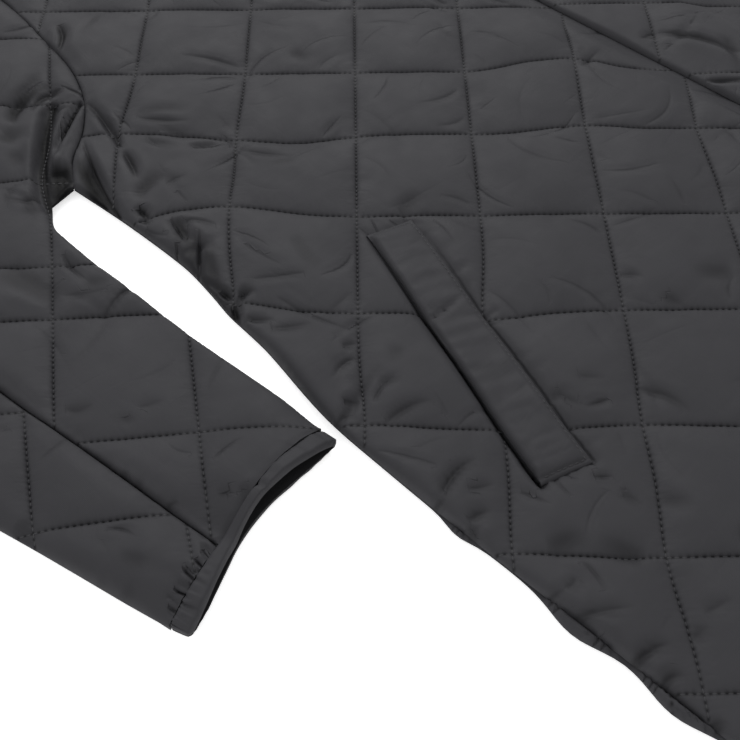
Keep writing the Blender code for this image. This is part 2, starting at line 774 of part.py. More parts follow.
for old in list(bpy.data.objects):
    bpy.data.objects.remove(old)
garment = bpy.data.collections.new("quilted_jacket")
bpy.context.scene.collection.children.link(garment)

make_back()
make_fronts()
make_collar()
make_sleeves()
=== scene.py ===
"""Dresses the flat quilted jacket: padded panels, stitches, welts, rolled cuffs, finishes and the studio."""

import logging
import math
import random
from dataclasses import dataclass, field, replace
from enum import Enum
from typing import Callable, Sequence

import bmesh
import bpy
import numpy as np
from bmesh.types import BMesh, BMFace, BMVert
from bpy.types import ID, Material, Mesh, Object, ShaderNode
from mathutils import Matrix, Vector, noise


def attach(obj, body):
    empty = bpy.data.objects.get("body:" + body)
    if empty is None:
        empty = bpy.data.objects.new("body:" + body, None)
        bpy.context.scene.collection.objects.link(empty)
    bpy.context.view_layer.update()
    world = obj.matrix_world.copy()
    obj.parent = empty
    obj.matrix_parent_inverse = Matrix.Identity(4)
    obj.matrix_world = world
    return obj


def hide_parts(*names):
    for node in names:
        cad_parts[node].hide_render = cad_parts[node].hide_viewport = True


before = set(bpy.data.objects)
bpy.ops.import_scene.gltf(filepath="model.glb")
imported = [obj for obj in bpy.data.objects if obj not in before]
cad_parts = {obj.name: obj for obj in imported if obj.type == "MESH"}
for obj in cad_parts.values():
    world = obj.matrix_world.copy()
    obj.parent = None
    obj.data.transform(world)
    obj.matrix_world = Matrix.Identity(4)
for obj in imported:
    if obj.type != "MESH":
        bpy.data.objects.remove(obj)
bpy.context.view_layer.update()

MM = 0.001
DIAGONAL = math.sqrt(2.0)
SHARP_TURN = 32.0  # degrees that an outline turns by at a corner
SMOOTH_TURN = 70.0  # degrees between faces that are still shaded smooth
LOG = logging.getLogger("quilted_jacket")

Array = np.ndarray
HeightRule = Callable[[Array], Array]
Pair = tuple[float, float]
Triple = tuple[float, float, float]
Colour = tuple[float, float, float, float]


class Side(Enum):
    """The wearer's side of the garment, with its sign along X."""

    RIGHT = -1
    LEFT = 1

    @property
    def word(self) -> str:
        """The side's word in a node's name."""
        return self.name.lower()


class Facing(Enum):
    """Which way the faces next to a solid's rim look."""

    DOWN = -1
    UP = 1


class Slot(Enum):
    """The record's material slots."""

    SHELL = "shell"
    WELT = "welt"
    BINDING = "binding"


# Helpers for arrays of points, which are rows of (out, up) in metres


def ease(values: Array) -> Array:
    """0 to 1 with level ends."""
    clipped = np.clip(values, 0.0, 1.0)
    return clipped * clipped * (3.0 - 2.0 * clipped)


def rounded(distance: Array, reach: float | Array) -> Array:
    """How far an edge has risen to full height, as a quarter of an ellipse."""
    left = 1.0 - np.clip(distance / reach, 0.0, 1.0)
    return np.sqrt(np.clip(1.0 - left * left, 0.0, None))


def bell(distance: Array, width: float, power: float = 2.0) -> Array:
    """1 at no distance, and fading past a width, the more squarely the higher the power."""
    return np.exp(-((np.abs(distance) / width) ** power))


def at_least(least: float, share: Array) -> Array:
    """A share from 0 to 1, brought between a least value and 1."""
    return least + (1.0 - least) * share


def wander(points: Array, size: float, seed: float) -> Array:
    """Smooth noise between about -1 and 1.

    Args:
        points: Rows of two coordinates, in metres.
        size: The length of one swell, in metres.
        seed: Picks one of many patterns.

    Returns:
        One value for each row.
    """
    scaled = points / size
    return np.array([noise.noise((x, y, seed)) for x, y in scaled])


@dataclass(frozen=True)
class Layers:
    """Heights above the surface that the garment lies on, and the lap at its front, in metres."""

    half_length: float = 0.3855
    lower_wall: float = 4.0 * MM
    gap: float = 0.3 * MM
    stitched_wall: float = 2.3 * MM
    seam_wall: float = 0.9 * MM
    fold_wall: float = 0.4 * MM
    upper_rims: float = 5.0 * MM
    lap_edge: float = 0.018
    lap_clear: float = 1.5 * MM
    lap_leaves: float = 0.0295
    lap_slope: float = 0.014
    lap_border_padding: float = 0.3
    lap_border_width: float = 0.026

    @property
    def upper_base(self) -> float:
        """The upper layer's inner face."""
        return self.lower_wall + self.gap

    def upper(self, points: Array) -> Array:
        """The upper layer's inner face at each point."""
        return np.full(len(points), self.upper_base)

    def lapped(self, points: Array) -> Array:
        """The left front's inner face, which climbs onto the right front's edge."""
        over = ease((self.lap_leaves + self.lap_slope - points[:, 0]) / self.lap_slope)
        return self.upper_base + (self.stitched_wall + self.gap) * over

    def outside_lap(self, points: Array) -> Array:
        """The share of the right front's padding that is left beside the lap."""
        return ease((points[:, 0] - self.lap_edge - self.lap_clear) / self.lap_slope)

    def lap_border(self, points: Array) -> Array:
        """The share of the left front's padding that is left near its free edge."""
        return at_least(self.lap_border_padding, ease((points[:, 0] + self.lap_edge) / self.lap_border_width))

    def placed(self, points: Array, heights: Array, side: Side) -> Array:
        """Rows of (x, y, z) for points of the plan and their heights."""
        return np.column_stack((side.value * points[:, 0], points[:, 1] - self.half_length, heights))

    def plan(self, data: Mesh, side: Side) -> Array:
        """The reverse of placed, for a finished mesh's points."""
        flat = np.empty(len(data.vertices) * 3)
        data.vertices.foreach_get("co", flat)
        spots = flat.reshape(-1, 3)
        return np.column_stack((side.value * spots[:, 0], spots[:, 1] + self.half_length))


LAYERS = Layers()


# Helpers for shapes


def spots_of(verts: Sequence[BMVert]) -> Array:
    """The first two coordinates of a shape's points."""
    return np.array([vert.co[:2] for vert in verts])


def middles_of(faces: Sequence[BMFace]) -> Array:
    """The first two coordinates of faces' middles."""
    return np.array([face.calc_center_median()[:2] for face in faces])


def thickened(mesh: BMesh, spots: Array, bases: Array) -> list[BMFace]:
    """Makes a flat sheet a closed wall.

    Args:
        mesh: The sheet.
        spots: Its points' places on the outer face, as rows of (x, y, z).
        bases: The inner face's heights below them.

    Returns:
        The inner faces.
    """
    for vert, spot in zip(mesh.verts, spots):
        vert.co = spot
    lower = {(vert.co.x, vert.co.y): base for vert, base in zip(mesh.verts, bases)}
    grown = bmesh.ops.extrude_face_region(mesh, geom=list(mesh.faces))["geom"]
    for item in grown:
        if isinstance(item, BMVert):
            item.co.z = lower[(item.co.x, item.co.y)]
    return [item for item in grown if isinstance(item, BMFace)]


def added(name: str, data: ID) -> Object:
    """A new object of some data, in the scene."""
    made = bpy.data.objects.new(name, data)
    bpy.context.scene.collection.objects.link(made)
    return made


def joined(meshes: Sequence[BMesh]) -> BMesh:
    """Puts several shapes into the first one, and frees the others."""
    whole = meshes[0]
    for other in meshes[1:]:
        data = bpy.data.meshes.new("part")
        other.to_mesh(data)
        other.free()
        whole.from_mesh(data)
        bpy.data.meshes.remove(data)
    return whole


def write_uv(data: Mesh, word: str, places: Array) -> None:
    """Writes a UV map from one pair of values for each point of a mesh."""
    corners = np.empty(len(data.loops), dtype=int)
    data.loops.foreach_get("vertex_index", corners)
    data.uv_layers.new(name=word).data.foreach_set("uv", places[corners].astype(np.float32).ravel())


class Outline:
    """A closed line in a panel's plan."""

    chunk = 4000  # spots handled at a time, to spare memory
    same_place = 0.01 * MM  # corners closer than this are one
    upright = 0.02  # what a wall's normal tilts by at most
    fewest = 8  # a rim has more points than this

    def __init__(self, points: Array) -> None:
        """Keeps the line's points, anticlockwise.

        Args:
            points: Rows of (out, up), in metres.
        """
        following = np.roll(points, -1, axis=0)
        self.area = 0.5 * float(np.sum(points[:, 0] * following[:, 1] - following[:, 0] * points[:, 1]))
        self.points = points if self.area > 0 else points[::-1]
        self.area = abs(self.area)

    @classmethod
    def of_node(cls, node: str, side: Side, facing: Facing, above: float = -1.0) -> list["Outline"]:
        """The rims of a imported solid, largest first.

        Args:
            node: The node's name.
            side: The side that it lies on.
            facing: Takes the upper or the lower rim of its walls.
            above: Leaves out rims that reach below this height, in metres.

        Returns:
            One outline for each closed rim.
        """
        mesh = bmesh.new()
        mesh.from_mesh(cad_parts[node].data)
        bmesh.ops.remove_doubles(mesh, verts=mesh.verts, dist=cls.same_place)
        links: dict[int, list[int]] = {}
        mesh.verts.index_update()
        for edge in mesh.edges:
            if len(edge.link_faces) != 2 or min(vert.co.z for vert in edge.verts) < above:
                continue
            tilts = sorted(abs(face.normal.z) for face in edge.link_faces)
            flat = max(edge.link_faces, key=lambda face: abs(face.normal.z))
            if tilts[0] < cls.upright < tilts[1] and flat.normal.z * facing.value > 0:
                ends = [vert.index for vert in edge.verts]
                links.setdefault(ends[0], []).append(ends[1])
                links.setdefault(ends[1], []).append(ends[0])
        mesh.verts.ensure_lookup_table()
        places = {index: mesh.verts[index].co.copy() for index in links}
        mesh.free()
        rims = []
        while links:
            rim = [next(iter(links))]
            while rim[-1] in links:
                ways = [index for index in links.pop(rim[-1]) if index in links]
                if not ways:
                    break
                rim.append(ways[0])
            plan = np.array([(side.value * places[i].x, places[i].y + LAYERS.half_length) for i in rim])
            if len(plan) > cls.fewest:
                rims.append(cls(plan))
        return sorted(rims, key=lambda outline: -outline.area)

    def smooth(self, step: float = 2.5 * MM) -> "Outline":
        """A Catmull-Rom curve through the points, which keeps its corners.

        Args:
            step: The distance between its points, in metres.

        Returns:
            The finer outline.
        """
        knots = self.points
        before, after = np.roll(knots, 1, axis=0), np.roll(knots, -1, axis=0)
        ways = [way / np.linalg.norm(way, axis=1)[:, None] for way in (knots - before, after - knots)]
        corner = np.degrees(np.arccos(np.clip((ways[0] * ways[1]).sum(axis=1), -1, 1))) > SHARP_TURN
        fine = []
        count = len(knots)
        for index in range(count):
            start, end = knots[index], knots[(index + 1) % count]
            lead = 2 * start - end if corner[index] else knots[index - 1]
            trail = 2 * end - start if corner[(index + 1) % count] else knots[(index + 2) % count]
            steps = max(1, round(float(np.linalg.norm(end - start)) / step))
            for t in np.arange(steps) / steps:
                fine.append(
                    0.5
                    * (
                        2 * start
                        + (end - lead) * t
                        + (2 * lead - 5 * start + 4 * end - trail) * t**2
                        + (3 * start - lead - 3 * end + trail) * t**3
                    )
                )
        return Outline(np.array(fine))

    def corners(self) -> Array:
        """The points where the line turns sharply."""
        ways = np.roll(self.points, -1, axis=0) - self.points
        ways /= np.linalg.norm(ways, axis=1)[:, None]
        turn = np.degrees(np.arccos(np.clip((ways * np.roll(ways, 1, axis=0)).sum(axis=1), -1, 1)))
        return self.points[turn > SHARP_TURN]

    def nearest(self, spots: Array, stretches: Array | None = None) -> tuple[Array, Array]:
        """The nearest place on the line to each spot.

        Args:
            spots: Rows of (out, up), in metres.
            stretches: Which of the line's stretches count, or None for all.

        Returns:
            The places, and their distances.
        """
        starts = self.points
        ways = np.roll(starts, -1, axis=0) - starts
        if stretches is not None:
            if not stretches.any():
                return spots.copy(), np.full(len(spots), 1.0)
            starts, ways = starts[stretches], ways[stretches]
        lengths = (ways**2).sum(axis=1)
        places, distances = [], []
        for first in range(0, len(spots), self.chunk):
            some = spots[first : first + self.chunk, None, :] - starts[None]
            along = np.clip((some * ways).sum(axis=2) / lengths, 0, 1)
            away = ((some - along[:, :, None] * ways) ** 2).sum(axis=2)
            best = away.argmin(axis=1)
            order = np.arange(len(best))
            places.append(starts[best] + ways[best] * along[order, best][:, None])
            distances.append(np.sqrt(away[order, best]))
        return np.concatenate(places), np.concatenate(distances)

    def distance(self, spots: Array) -> Array:
        """Each spot's distance to the line."""
        return self.nearest(spots)[1]

    def shared(self, neighbours: Sequence["Outline"], reach: float = 2.5 * MM) -> Array:
        """Which of its stretches run along a neighbour, as a seam does."""
        middles = (self.points + np.roll(self.points, -1, axis=0)) / 2
        close = np.zeros(len(middles), dtype=bool)
        for neighbour in neighbours:
            close |= neighbour.distance(middles) < reach
        return close

    def inside(self, spots: Array) -> Array:
        """Whether each spot lies within the line."""
        starts, ends = self.points, np.roll(self.points, -1, axis=0)
        rise = np.where(ends[:, 1] == starts[:, 1], 1.0, ends[:, 1] - starts[:, 1])
        found = []
        for first in range(0, len(spots), self.chunk):
            x, y = spots[first : first + self.chunk, None, 0], spots[first : first + self.chunk, None, 1]
            crosses = (starts[:, 1] > y) != (ends[:, 1] > y)
            at = starts[:, 0] + (y - starts[:, 1]) * (ends[:, 0] - starts[:, 0]) / rise
            found.append((crosses & (x < at)).sum(axis=1) % 2 == 1)
        return np.concatenate(found)

    @property
    def extent(self) -> Pair:
        """Its width and length, in metres."""
        size = self.points.max(axis=0) - self.points.min(axis=0)
        return float(size[0]), float(size[1])


@dataclass(frozen=True)
class Pull:
    """A place where stitched lines were drawn aside, in millimetres."""

    out: float
    up: float
    shift_out: float
    shift_up: float
    reach: float = 27.0

    def shift(self, points: Array) -> Array:
        """How far points of the plan are moved, in metres."""
        away = ((points / MM - (self.out, self.up)) ** 2).sum(axis=1) / self.reach**2
        return np.exp(-away)[:, None] * np.array((self.shift_out, self.shift_up)) * MM


@dataclass(frozen=True)
class Quilt:
    """Two families of stitched lines that cross, in places along the two diagonals, in metres.

    A row runs from up-and-out to down-and-in, a column from down-and-out to up-and-in. Each family may be
    tilted from its diagonal, and pulled aside here and there.
    """

    rows: tuple[float, ...]
    columns: tuple[float, ...]
    row_tilt: float = 0.0
    column_tilt: float = 0.0
    pulls: tuple[Pull, ...] = ()
    fullness: float = 0.45
    flat_seam: float = 0.6 * MM
    bunching: float = 0.45
    unevenness: float = 0.2
    uneven_length: float = 0.061
    pull_rounds: int = 5

    def moved(self, points: Array) -> Array:
        """The sum of the pulls at each point."""
        total = np.zeros_like(points)
        for pull in self.pulls:
            total += pull.shift(points)
        return total

    def lattice(self, points: Array) -> Array:
        """Each point's place across the rows and across the columns."""
        straight = points
        for _ in range(self.pull_rounds if self.pulls else 0):
            straight = points - self.moved(straight)
        rising = (straight[:, 1] - straight[:, 0]) / DIAGONAL
        falling = (straight[:, 1] + straight[:, 0]) / DIAGONAL
        return np.column_stack((rising - self.row_tilt * falling, falling - self.column_tilt * rising))

    def points(self, lattice: Array) -> Array:
        """The reverse of lattice."""
        skew = 1 - self.row_tilt * self.column_tilt
        rising = (lattice[:, 0] + self.row_tilt * lattice[:, 1]) / skew
        falling = (lattice[:, 1] + self.column_tilt * lattice[:, 0]) / skew
        straight = np.column_stack((falling - rising, falling + rising)) / DIAGONAL
        return straight + self.moved(straight)

    @staticmethod
    def near(places: Array, lines: Sequence[float]) -> tuple[Array, Array, Array]:
        """How places lie among lines.

        Args:
            places: Places across the lines.
            lines: The lines' own places, rising.

        Returns:
            The part of the way between two lines, the distance to the nearest, and that line's index.
        """
        known = np.array(lines)
        index = np.clip(np.searchsorted(known, places, side="right"), 1, len(known) - 1)
        below, above = known[index - 1], known[index]
        part = np.clip((places - below) / (above - below), 0, 1)
        nearest = np.where(part < 0.5, index - 1, index)
        return part, np.abs(places - known[nearest]), nearest

    def puff(self, lattice: Array, seed: float) -> Array:
        """0 on a stitched line, about 1 in a square's middle, a little uneven from square to square."""
        full = np.ones(len(lattice))
        for axis, lines in enumerate((self.rows, self.columns)):
            part, distance, _ = self.near(lattice[:, axis], lines)
            full *= np.sin(math.pi * part) ** self.fullness * rounded(distance, 2 * self.flat_seam)
        return full * (1.0 + self.unevenness * wander(lattice, self.uneven_length, seed))

    def places(self, lines: Sequence[float], low: float, high: float, cell: float) -> Array:
        """Mesh lines across a family: the stitched lines and the cells between them.

        Args:
            lines: The family's places.
            low: Where the cloth starts.
            high: Where it ends.
            cell: The size of a mesh cell, in metres.

        Returns:
            Rising places.
        """
        found = []
        known = [min(low, lines[0]) - cell, *lines, max(high, lines[-1]) + cell]
        for below, above in zip(known, known[1:]):
            count = 2 * max(1, round((above - below) / cell / 2))
            part = np.arange(count) / count
            bunched = part - self.bunching * np.sin(2 * math.pi * part) / (2 * math.pi)
            found.extend(below + (above - below) * bunched)
        every = np.array([*found, known[-1]])
        return every[(every > low - cell) & (every < high + cell)]


def evenly(first: float, count: int, drift: dict[int, float] | None = None) -> tuple[float, ...]:
    """Stitched lines one square apart.

    Args:
        first: The first line's place, in metres.
        count: How many lines.
        drift: Small errors of the hand, by a line's index.

    Returns:
        The lines' places.
    """
    square = 0.058
    return tuple(first + square * index + (drift or {}).get(index, 0.0) for index in range(count))


@dataclass(frozen=True)
class Crease:
    """A trough or ridge, in millimetres: its two ends, half-width, rise (below 0 a trough) and bow.

    It is deepest a third of the way along, or keeps a part of its depth at its far end. Shade says how much
    painted shade darkens a trough's bottom, where the cloth closes over it. A trough has small ridges beside
    it, as tall as the part given by its shoulders.
    """

    out: float
    up: float
    end_out: float
    end_up: float
    half_width: float
    rise: float
    bow: float = 0.0
    keep: float = 0.0
    shade: float = 1.0
    shoulders: float = 0.18

    window = 3.4  # half-widths past its ends that it may reach
    deepest_early = 0.7  # below 1, the deepest place is before the middle
    flank = 1.6  # how squarely its sides fall away
    ridge_at, ridge_width = 2.0, 0.9  # half-widths
    drift_out, drift_up = (-6, 3), (-8, 8)  # how far a similar one may be shifted
    turned = (-5, 5)
    deeper = (0.8, 1.15)

    def across(self, points: Array) -> tuple[Array, Array, Array]:
        """How points lie to it.

        Args:
            points: Rows of (out, up), in metres.

        Returns:
            Which points are near, and for those the signed distance in half-widths and the share of depth.
        """
        start = np.array((self.out, self.up)) * MM
        run = np.array((self.end_out, self.end_up)) * MM - start
        length = float(np.linalg.norm(run))
        way = run / length
        reach = length * (0.5 + abs(self.bow)) + self.window * self.half_width * MM
        close = np.flatnonzero(np.abs(points - start - run / 2).max(axis=1) < reach)
        offset = points[close] - start
        along = np.clip(offset @ way / length, 0, 1)
        bowed = 4 * self.bow * length * along * (1 - along)
        away = (offset @ np.array((-way[1], way[0])) - bowed) / (self.half_width * MM)
        beyond = (offset @ way - along * length) / (self.half_width * MM)
        arch = (1 - self.keep) * np.sin(math.pi * along**self.deepest_early)
        return close, away, (arch + self.keep * ease(2 * along)) * np.exp(-(beyond**2))

    def lift(self, points: Array) -> Array:
        """What it adds to the height at each point, in metres."""
        close, away, share = self.across(points)
        lifted = np.zeros(len(points))
        away = np.abs(away)
        ridges = self.shoulders * bell(away - self.ridge_at, self.ridge_width)
        lifted[close] = self.rise * MM * share * (bell(away, 1.0, self.flank) - ridges)
        return lifted

    def varied(self, draw: random.Random) -> "Crease":
        """A similar crease for the other side of the garment."""
        shift_out, shift_up = draw.uniform(*self.drift_out), draw.uniform(*self.drift_up)
        turn = draw.uniform(*self.turned)
        return replace(
            self,
            out=self.out + shift_out,
            up=self.up + shift_up,
            end_out=self.end_out + shift_out + turn,
            end_up=self.end_up + shift_up - turn,
            rise=self.rise * draw.uniform(*self.deeper),
        )


@dataclass(frozen=True)
class Wrinkles:
    """Small creases that the stitches draw into each square, uneven in length, depth and direction.

    Lengths, widths and the distance from the stitched line are in millimetres, turns in degrees.
    """

    seed: int
    each: int = 6
    depth: float = 0.62
    near_edge: float = 1.1
    edge_reach: float = 0.03  # metres
    lengths: Pair = (10, 36)
    half_widths: Pair = (1.1, 2.4)
    depths: Pair = (0.3, 1.25)
    mostly_shallow: float = 1.6
    bows: Pair = (-0.16, 0.16)
    keeps: Pair = (0.0, 0.5)
    along_line: Pair = (0.08, 0.92)
    from_line: Pair = (1.0, 5.0)
    turns: Pair = (5, 62)

    def creases(self, quilt: Quilt, outline: Outline) -> list[Crease]:
        """The creases of every square inside an outline.

        Args:
            quilt: The stitched lines.
            outline: The panel's outline.

        Returns:
            The creases.
        """
        draw = random.Random(self.seed)
        spans, forms = [], []
        for rows in zip(quilt.rows, quilt.rows[1:]):
            for columns in zip(quilt.columns, quilt.columns[1:]):
                for _ in range(self.each):
                    spans.append(self.span(draw, rows, columns))
                    half_width = draw.uniform(*self.half_widths)
                    depth = draw.uniform(*self.depths) ** self.mostly_shallow
                    forms.append((half_width, depth, draw.uniform(*self.bows), draw.uniform(*self.keeps)))
        starts = quilt.points(np.array([start for start, _ in spans]))
        ends = quilt.points(np.array([end for _, end in spans]))
        middles = (starts + ends) / 2
        within, rim = outline.inside(middles), outline.distance(middles)
        found = []
        for start, end, (half_width, depth, bow, keep), inner, edge in zip(starts, ends, forms, within, rim):
            if inner:
                more = 1 + self.near_edge * math.exp(-edge / self.edge_reach)
                place = (*(start / MM), *(end / MM))
                found.append(Crease(*place, half_width, -self.depth * depth * more, bow, keep))
        return found

    def span(self, draw: random.Random, rows: Pair, columns: Pair) -> tuple[Pair, Pair]:
        """The two ends of one crease, which leads from a stitched line into the square.

        Args:
            draw: The source of chance.
            rows: The square's two rows.
            columns: Its two columns.

        Returns:
            The ends, as places across the rows and columns.
        """
        side, along = draw.randrange(4), draw.uniform(*self.along_line)
        from_line = draw.uniform(*self.from_line) * MM
        turn = math.radians(draw.choice((-1, 1)) * draw.uniform(*self.turns))
        length = draw.uniform(*self.lengths) * MM
        far, sign = side % 2, (1, -1)[side % 2]
        lines, others = (rows, columns) if side < 2 else (columns, rows)
        start = (lines[far] + sign * from_line, others[0] + along * (others[1] - others[0]))
        end = (start[0] + sign * math.cos(turn) * length, start[1] + math.sin(turn) * length)
        return (start, end) if side < 2 else (start[::-1], end[::-1])


@dataclass
class Relief:
    """The height of a panel's outer face: padding between stitched lines, puckers, creases and its rim."""

    quilt: Quilt
    outline: Outline
    base: HeightRule
    seed: float
    neighbours: Sequence[Outline] = ()
    puff: float = 4.0 * MM
    quilted: bool = True
    creases: Sequence[Crease] = ()
    press: HeightRule | None = None
    roll: HeightRule | None = None
    fold_reach: float = 6.0 * MM
    seam_reach: float = 2.2 * MM
    seam_valley: float = 9.0 * MM
    wide_fold: HeightRule | None = None
    swell: float = 0.6 * MM
    swell_length: float = 0.032
    ripple: float = 0.22 * MM
    ripple_length: float = 0.011
    pucker: float = 0.45 * MM
    pucker_length: float = 6.0 * MM
    pucker_reach: float = 6.0 * MM
    pucker_slant: float = 0.35
    pucker_clear: float = 2.0 * MM
    seam_pucker: float = 0.7 * MM
    seam_pucker_lengths: Pair = (4.2 * MM, 9.0 * MM)
    seam_pucker_reach: float = 4.5 * MM
    roll_from: float = 3.4 * MM

    def __post_init__(self) -> None:
        """Finds which stretches of the rim are seams."""
        self.seams = self.outline.shared(self.neighbours)

    def puckers(self, lattice: Array) -> Array:
        """Short ripples across each stitched line, which fade into the square."""
        total = np.zeros(len(lattice))
        for axis, lines in enumerate((self.quilt.rows, self.quilt.columns)):
            part, distance, line = self.quilt.near(lattice[:, axis], lines)
            along = lattice[:, 1 - axis]
            sheared = along + self.pucker_slant * distance * np.where(part < 0.5, 1, -1)
            # Each line's two sides take other stretches of the noise
            spots = np.column_stack((sheared, line * 0.37 + (part < 0.5) * 0.011))
            wave = wander(spots, self.pucker_length, self.seed + 3.0 * axis)
            strength = 0.6 + 0.8 * wander(spots, 6 * self.pucker_length, self.seed + 5.0)
            fade = np.exp(-distance / self.pucker_reach)
            total += wave * strength * fade * rounded(distance, self.pucker_clear)
        return self.pucker * total

    def rim_puckers(self, points: Array, distance: Array) -> Array:
        """Ripples across the seams round the panel."""
        fine, broad = self.seam_pucker_lengths
        wave = wander(points, fine, self.seed + 9.0) + 0.6 * wander(points, broad, self.seed + 10.0)
        return self.seam_pucker * wave * np.exp(-distance / self.seam_pucker_reach)

    def height(self, points: Array) -> Array:
        """The outer face's height above the surface, in metres, at points of the plan."""
        lattice = self.quilt.lattice(points)
        fold = self.outline.nearest(points, ~self.seams)[1]
        seam = self.outline.nearest(points, self.seams)[1]
        raised = self.swell * wander(points, self.swell_length, self.seed)
        raised += self.ripple * wander(points, self.ripple_length, self.seed + 1)
        if self.quilted:
            padding = self.puff * self.quilt.puff(lattice, self.seed)
            raised += self.puckers(lattice)
        else:
            padding = np.full(len(points), self.puff)
        if self.press is not None:
            share = self.press(points)
            padding, raised = padding * share, raised * share
        raised += self.rim_puckers(points, seam)
        for crease in self.creases:
            raised += crease.lift(points)
        walls = [
            least + (LAYERS.stitched_wall - least) * rounded(distance, reach)
            for least, distance, reach in (
                (LAYERS.fold_wall, fold, 3.0 * MM),
                (LAYERS.seam_wall, seam, 2.0 * MM),
            )
        ]
        reach = self.fold_reach if self.wide_fold is None else self.fold_reach + self.wide_fold(points)
        valley = at_least(0.5, ease(seam / self.seam_valley))
        rim = rounded(fold, reach) * valley * at_least(0.3, rounded(seam, self.seam_reach))
        wall = np.maximum(np.minimum(*walls) + (padding + raised) * rim, LAYERS.fold_wall)
        total = self.base(points) + wall
        if self.roll is None:
            return total
        return self.roll(points) * (total - self.roll_from) + self.roll_from


class Sewing:
    """Stitches of one thread, gathered for one piece and made as copies of one short stitch."""

    pitch = 2.75 * MM
    length = 1.95 * MM
    width = 0.6 * MM
    height = 0.4 * MM
    lift = 0.02 * MM
    edge_clear = 1.2 * MM
    blunt = 0.6  # below 1, a stitch is fuller towards its ends than a ball

    def __init__(self, name: str, side: Side) -> None:
        """Starts an empty set of stitches for a piece on a side."""
        self.name, self.side = name, side
        self.places: list[Array] = []
        self.ways: list[Array] = []

    def add(self, starts: Array, ends: Array, height: HeightRule, lift: float) -> None:
        """Adds stitches.

        Args:
            starts: Rows of (out, up) where each dips into the cloth.
            ends: Where it dips in again.
            height: The face's height at such points.
            lift: How far the thread stands off the face.
        """
        low, high = (LAYERS.placed(spots, height(spots) + lift, self.side) for spots in (starts, ends))
        self.places.append((low + high) / 2)
        self.ways.append(high - low)

    def run(self, points: Array, height: HeightRule, lift: float = 0.12 * MM) -> None:
        """Adds a row of stitches along closely spaced points."""
        steps = np.linalg.norm(np.diff(points, axis=0), axis=1)
        along = np.concatenate(([0.0], np.cumsum(steps)))
        centres = np.arange(self.pitch / 2, along[-1], self.pitch)
        ends = [
            np.column_stack([np.interp(centres + shift, along, points[:, axis]) for axis in (0, 1)])
            for shift in (-self.length / 2, self.length / 2)
        ]
        self.add(*ends, height, lift)

    def quilt(self, relief: Relief, shown: HeightRule | None = None) -> None:
        """Adds the stitches of every line of a panel's quilting.

        Args:
            relief: The panel's face, with its quilting and outline.
            shown: Gives 1 where the stitches show and 0 where something covers them.
        """
        quilt, outline = relief.quilt, relief.outline
        reach = quilt.lattice(outline.points)
        for axis, lines in enumerate((quilt.rows, quilt.columns)):
            first, last = reach[:, 1 - axis].min(), reach[:, 1 - axis].max()
            centres = (np.arange(math.ceil(first / self.pitch), last / self.pitch) + 0.5) * self.pitch
            for line in lines:
                spans = []
                for shift in (-self.length / 2, 0.0, self.length / 2):
                    lattice = np.column_stack((np.full(len(centres), line), centres + shift))
                    spans.append(quilt.points(lattice if axis == 0 else lattice[:, ::-1]))
                keep = outline.inside(spans[1]) & (outline.distance(spans[1]) > self.edge_clear)
                if shown is not None:
                    keep &= shown(spans[1]) > 0.5
                if keep.any():
                    self.add(spans[0][keep], spans[2][keep], relief.height, self.lift)

    @classmethod
    def template(cls) -> tuple[Array, Array]:
        """One stitch along X, as its points and its triangles."""
        mesh = bmesh.new()
        bmesh.ops.create_uvsphere(mesh, u_segments=6, v_segments=3, radius=0.5)
        spin = Matrix.Rotation(math.pi / 2, 4, "Y")
        bmesh.ops.transform(mesh, matrix=spin, verts=mesh.verts)
        bmesh.ops.triangulate(mesh, faces=mesh.faces)
        points = np.array([tuple(vert.co) for vert in mesh.verts])
        faces = np.array([[vert.index for vert in face.verts] for face in mesh.faces])
        mesh.free()
        points[:, 0] = np.sign(points[:, 0]) * 0.5 * np.abs(2 * points[:, 0]) ** cls.blunt
        return points, faces

    def make(self, finish: Material) -> None:
        """Joins the stitches into one object."""
        places, ways = np.concatenate(self.places), np.concatenate(self.ways)
        lengths = np.linalg.norm(ways, axis=1)
        forward = ways / lengths[:, None]
        across = np.cross(np.array((0.0, 0.0, 1.0)), forward)
        across /= np.linalg.norm(across, axis=1)[:, None]
        up = np.cross(forward, across)
        shape, faces = self.template()
        scaled = (
            places[:, None, :]
            + shape[None, :, 0, None] * (forward * lengths[:, None])[:, None, :]
            + shape[None, :, 1, None] * self.width * across[:, None, :]
            + shape[None, :, 2, None] * self.height * up[:, None, :]
        )
        joined_faces = (faces[None] + (np.arange(len(places)) * len(shape))[:, None, None]).reshape(-1, 3)
        data = bpy.data.meshes.new(self.name)
        data.from_pydata(scaled.reshape(-1, 3).tolist(), [], joined_faces.tolist())
        data.shade_smooth()
        data.materials.append(finish)
        piece = added(self.name, data)
        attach(piece, "root")
        LOG.info("%s: %d stitches, %d triangles", self.name, len(places), len(data.polygons))


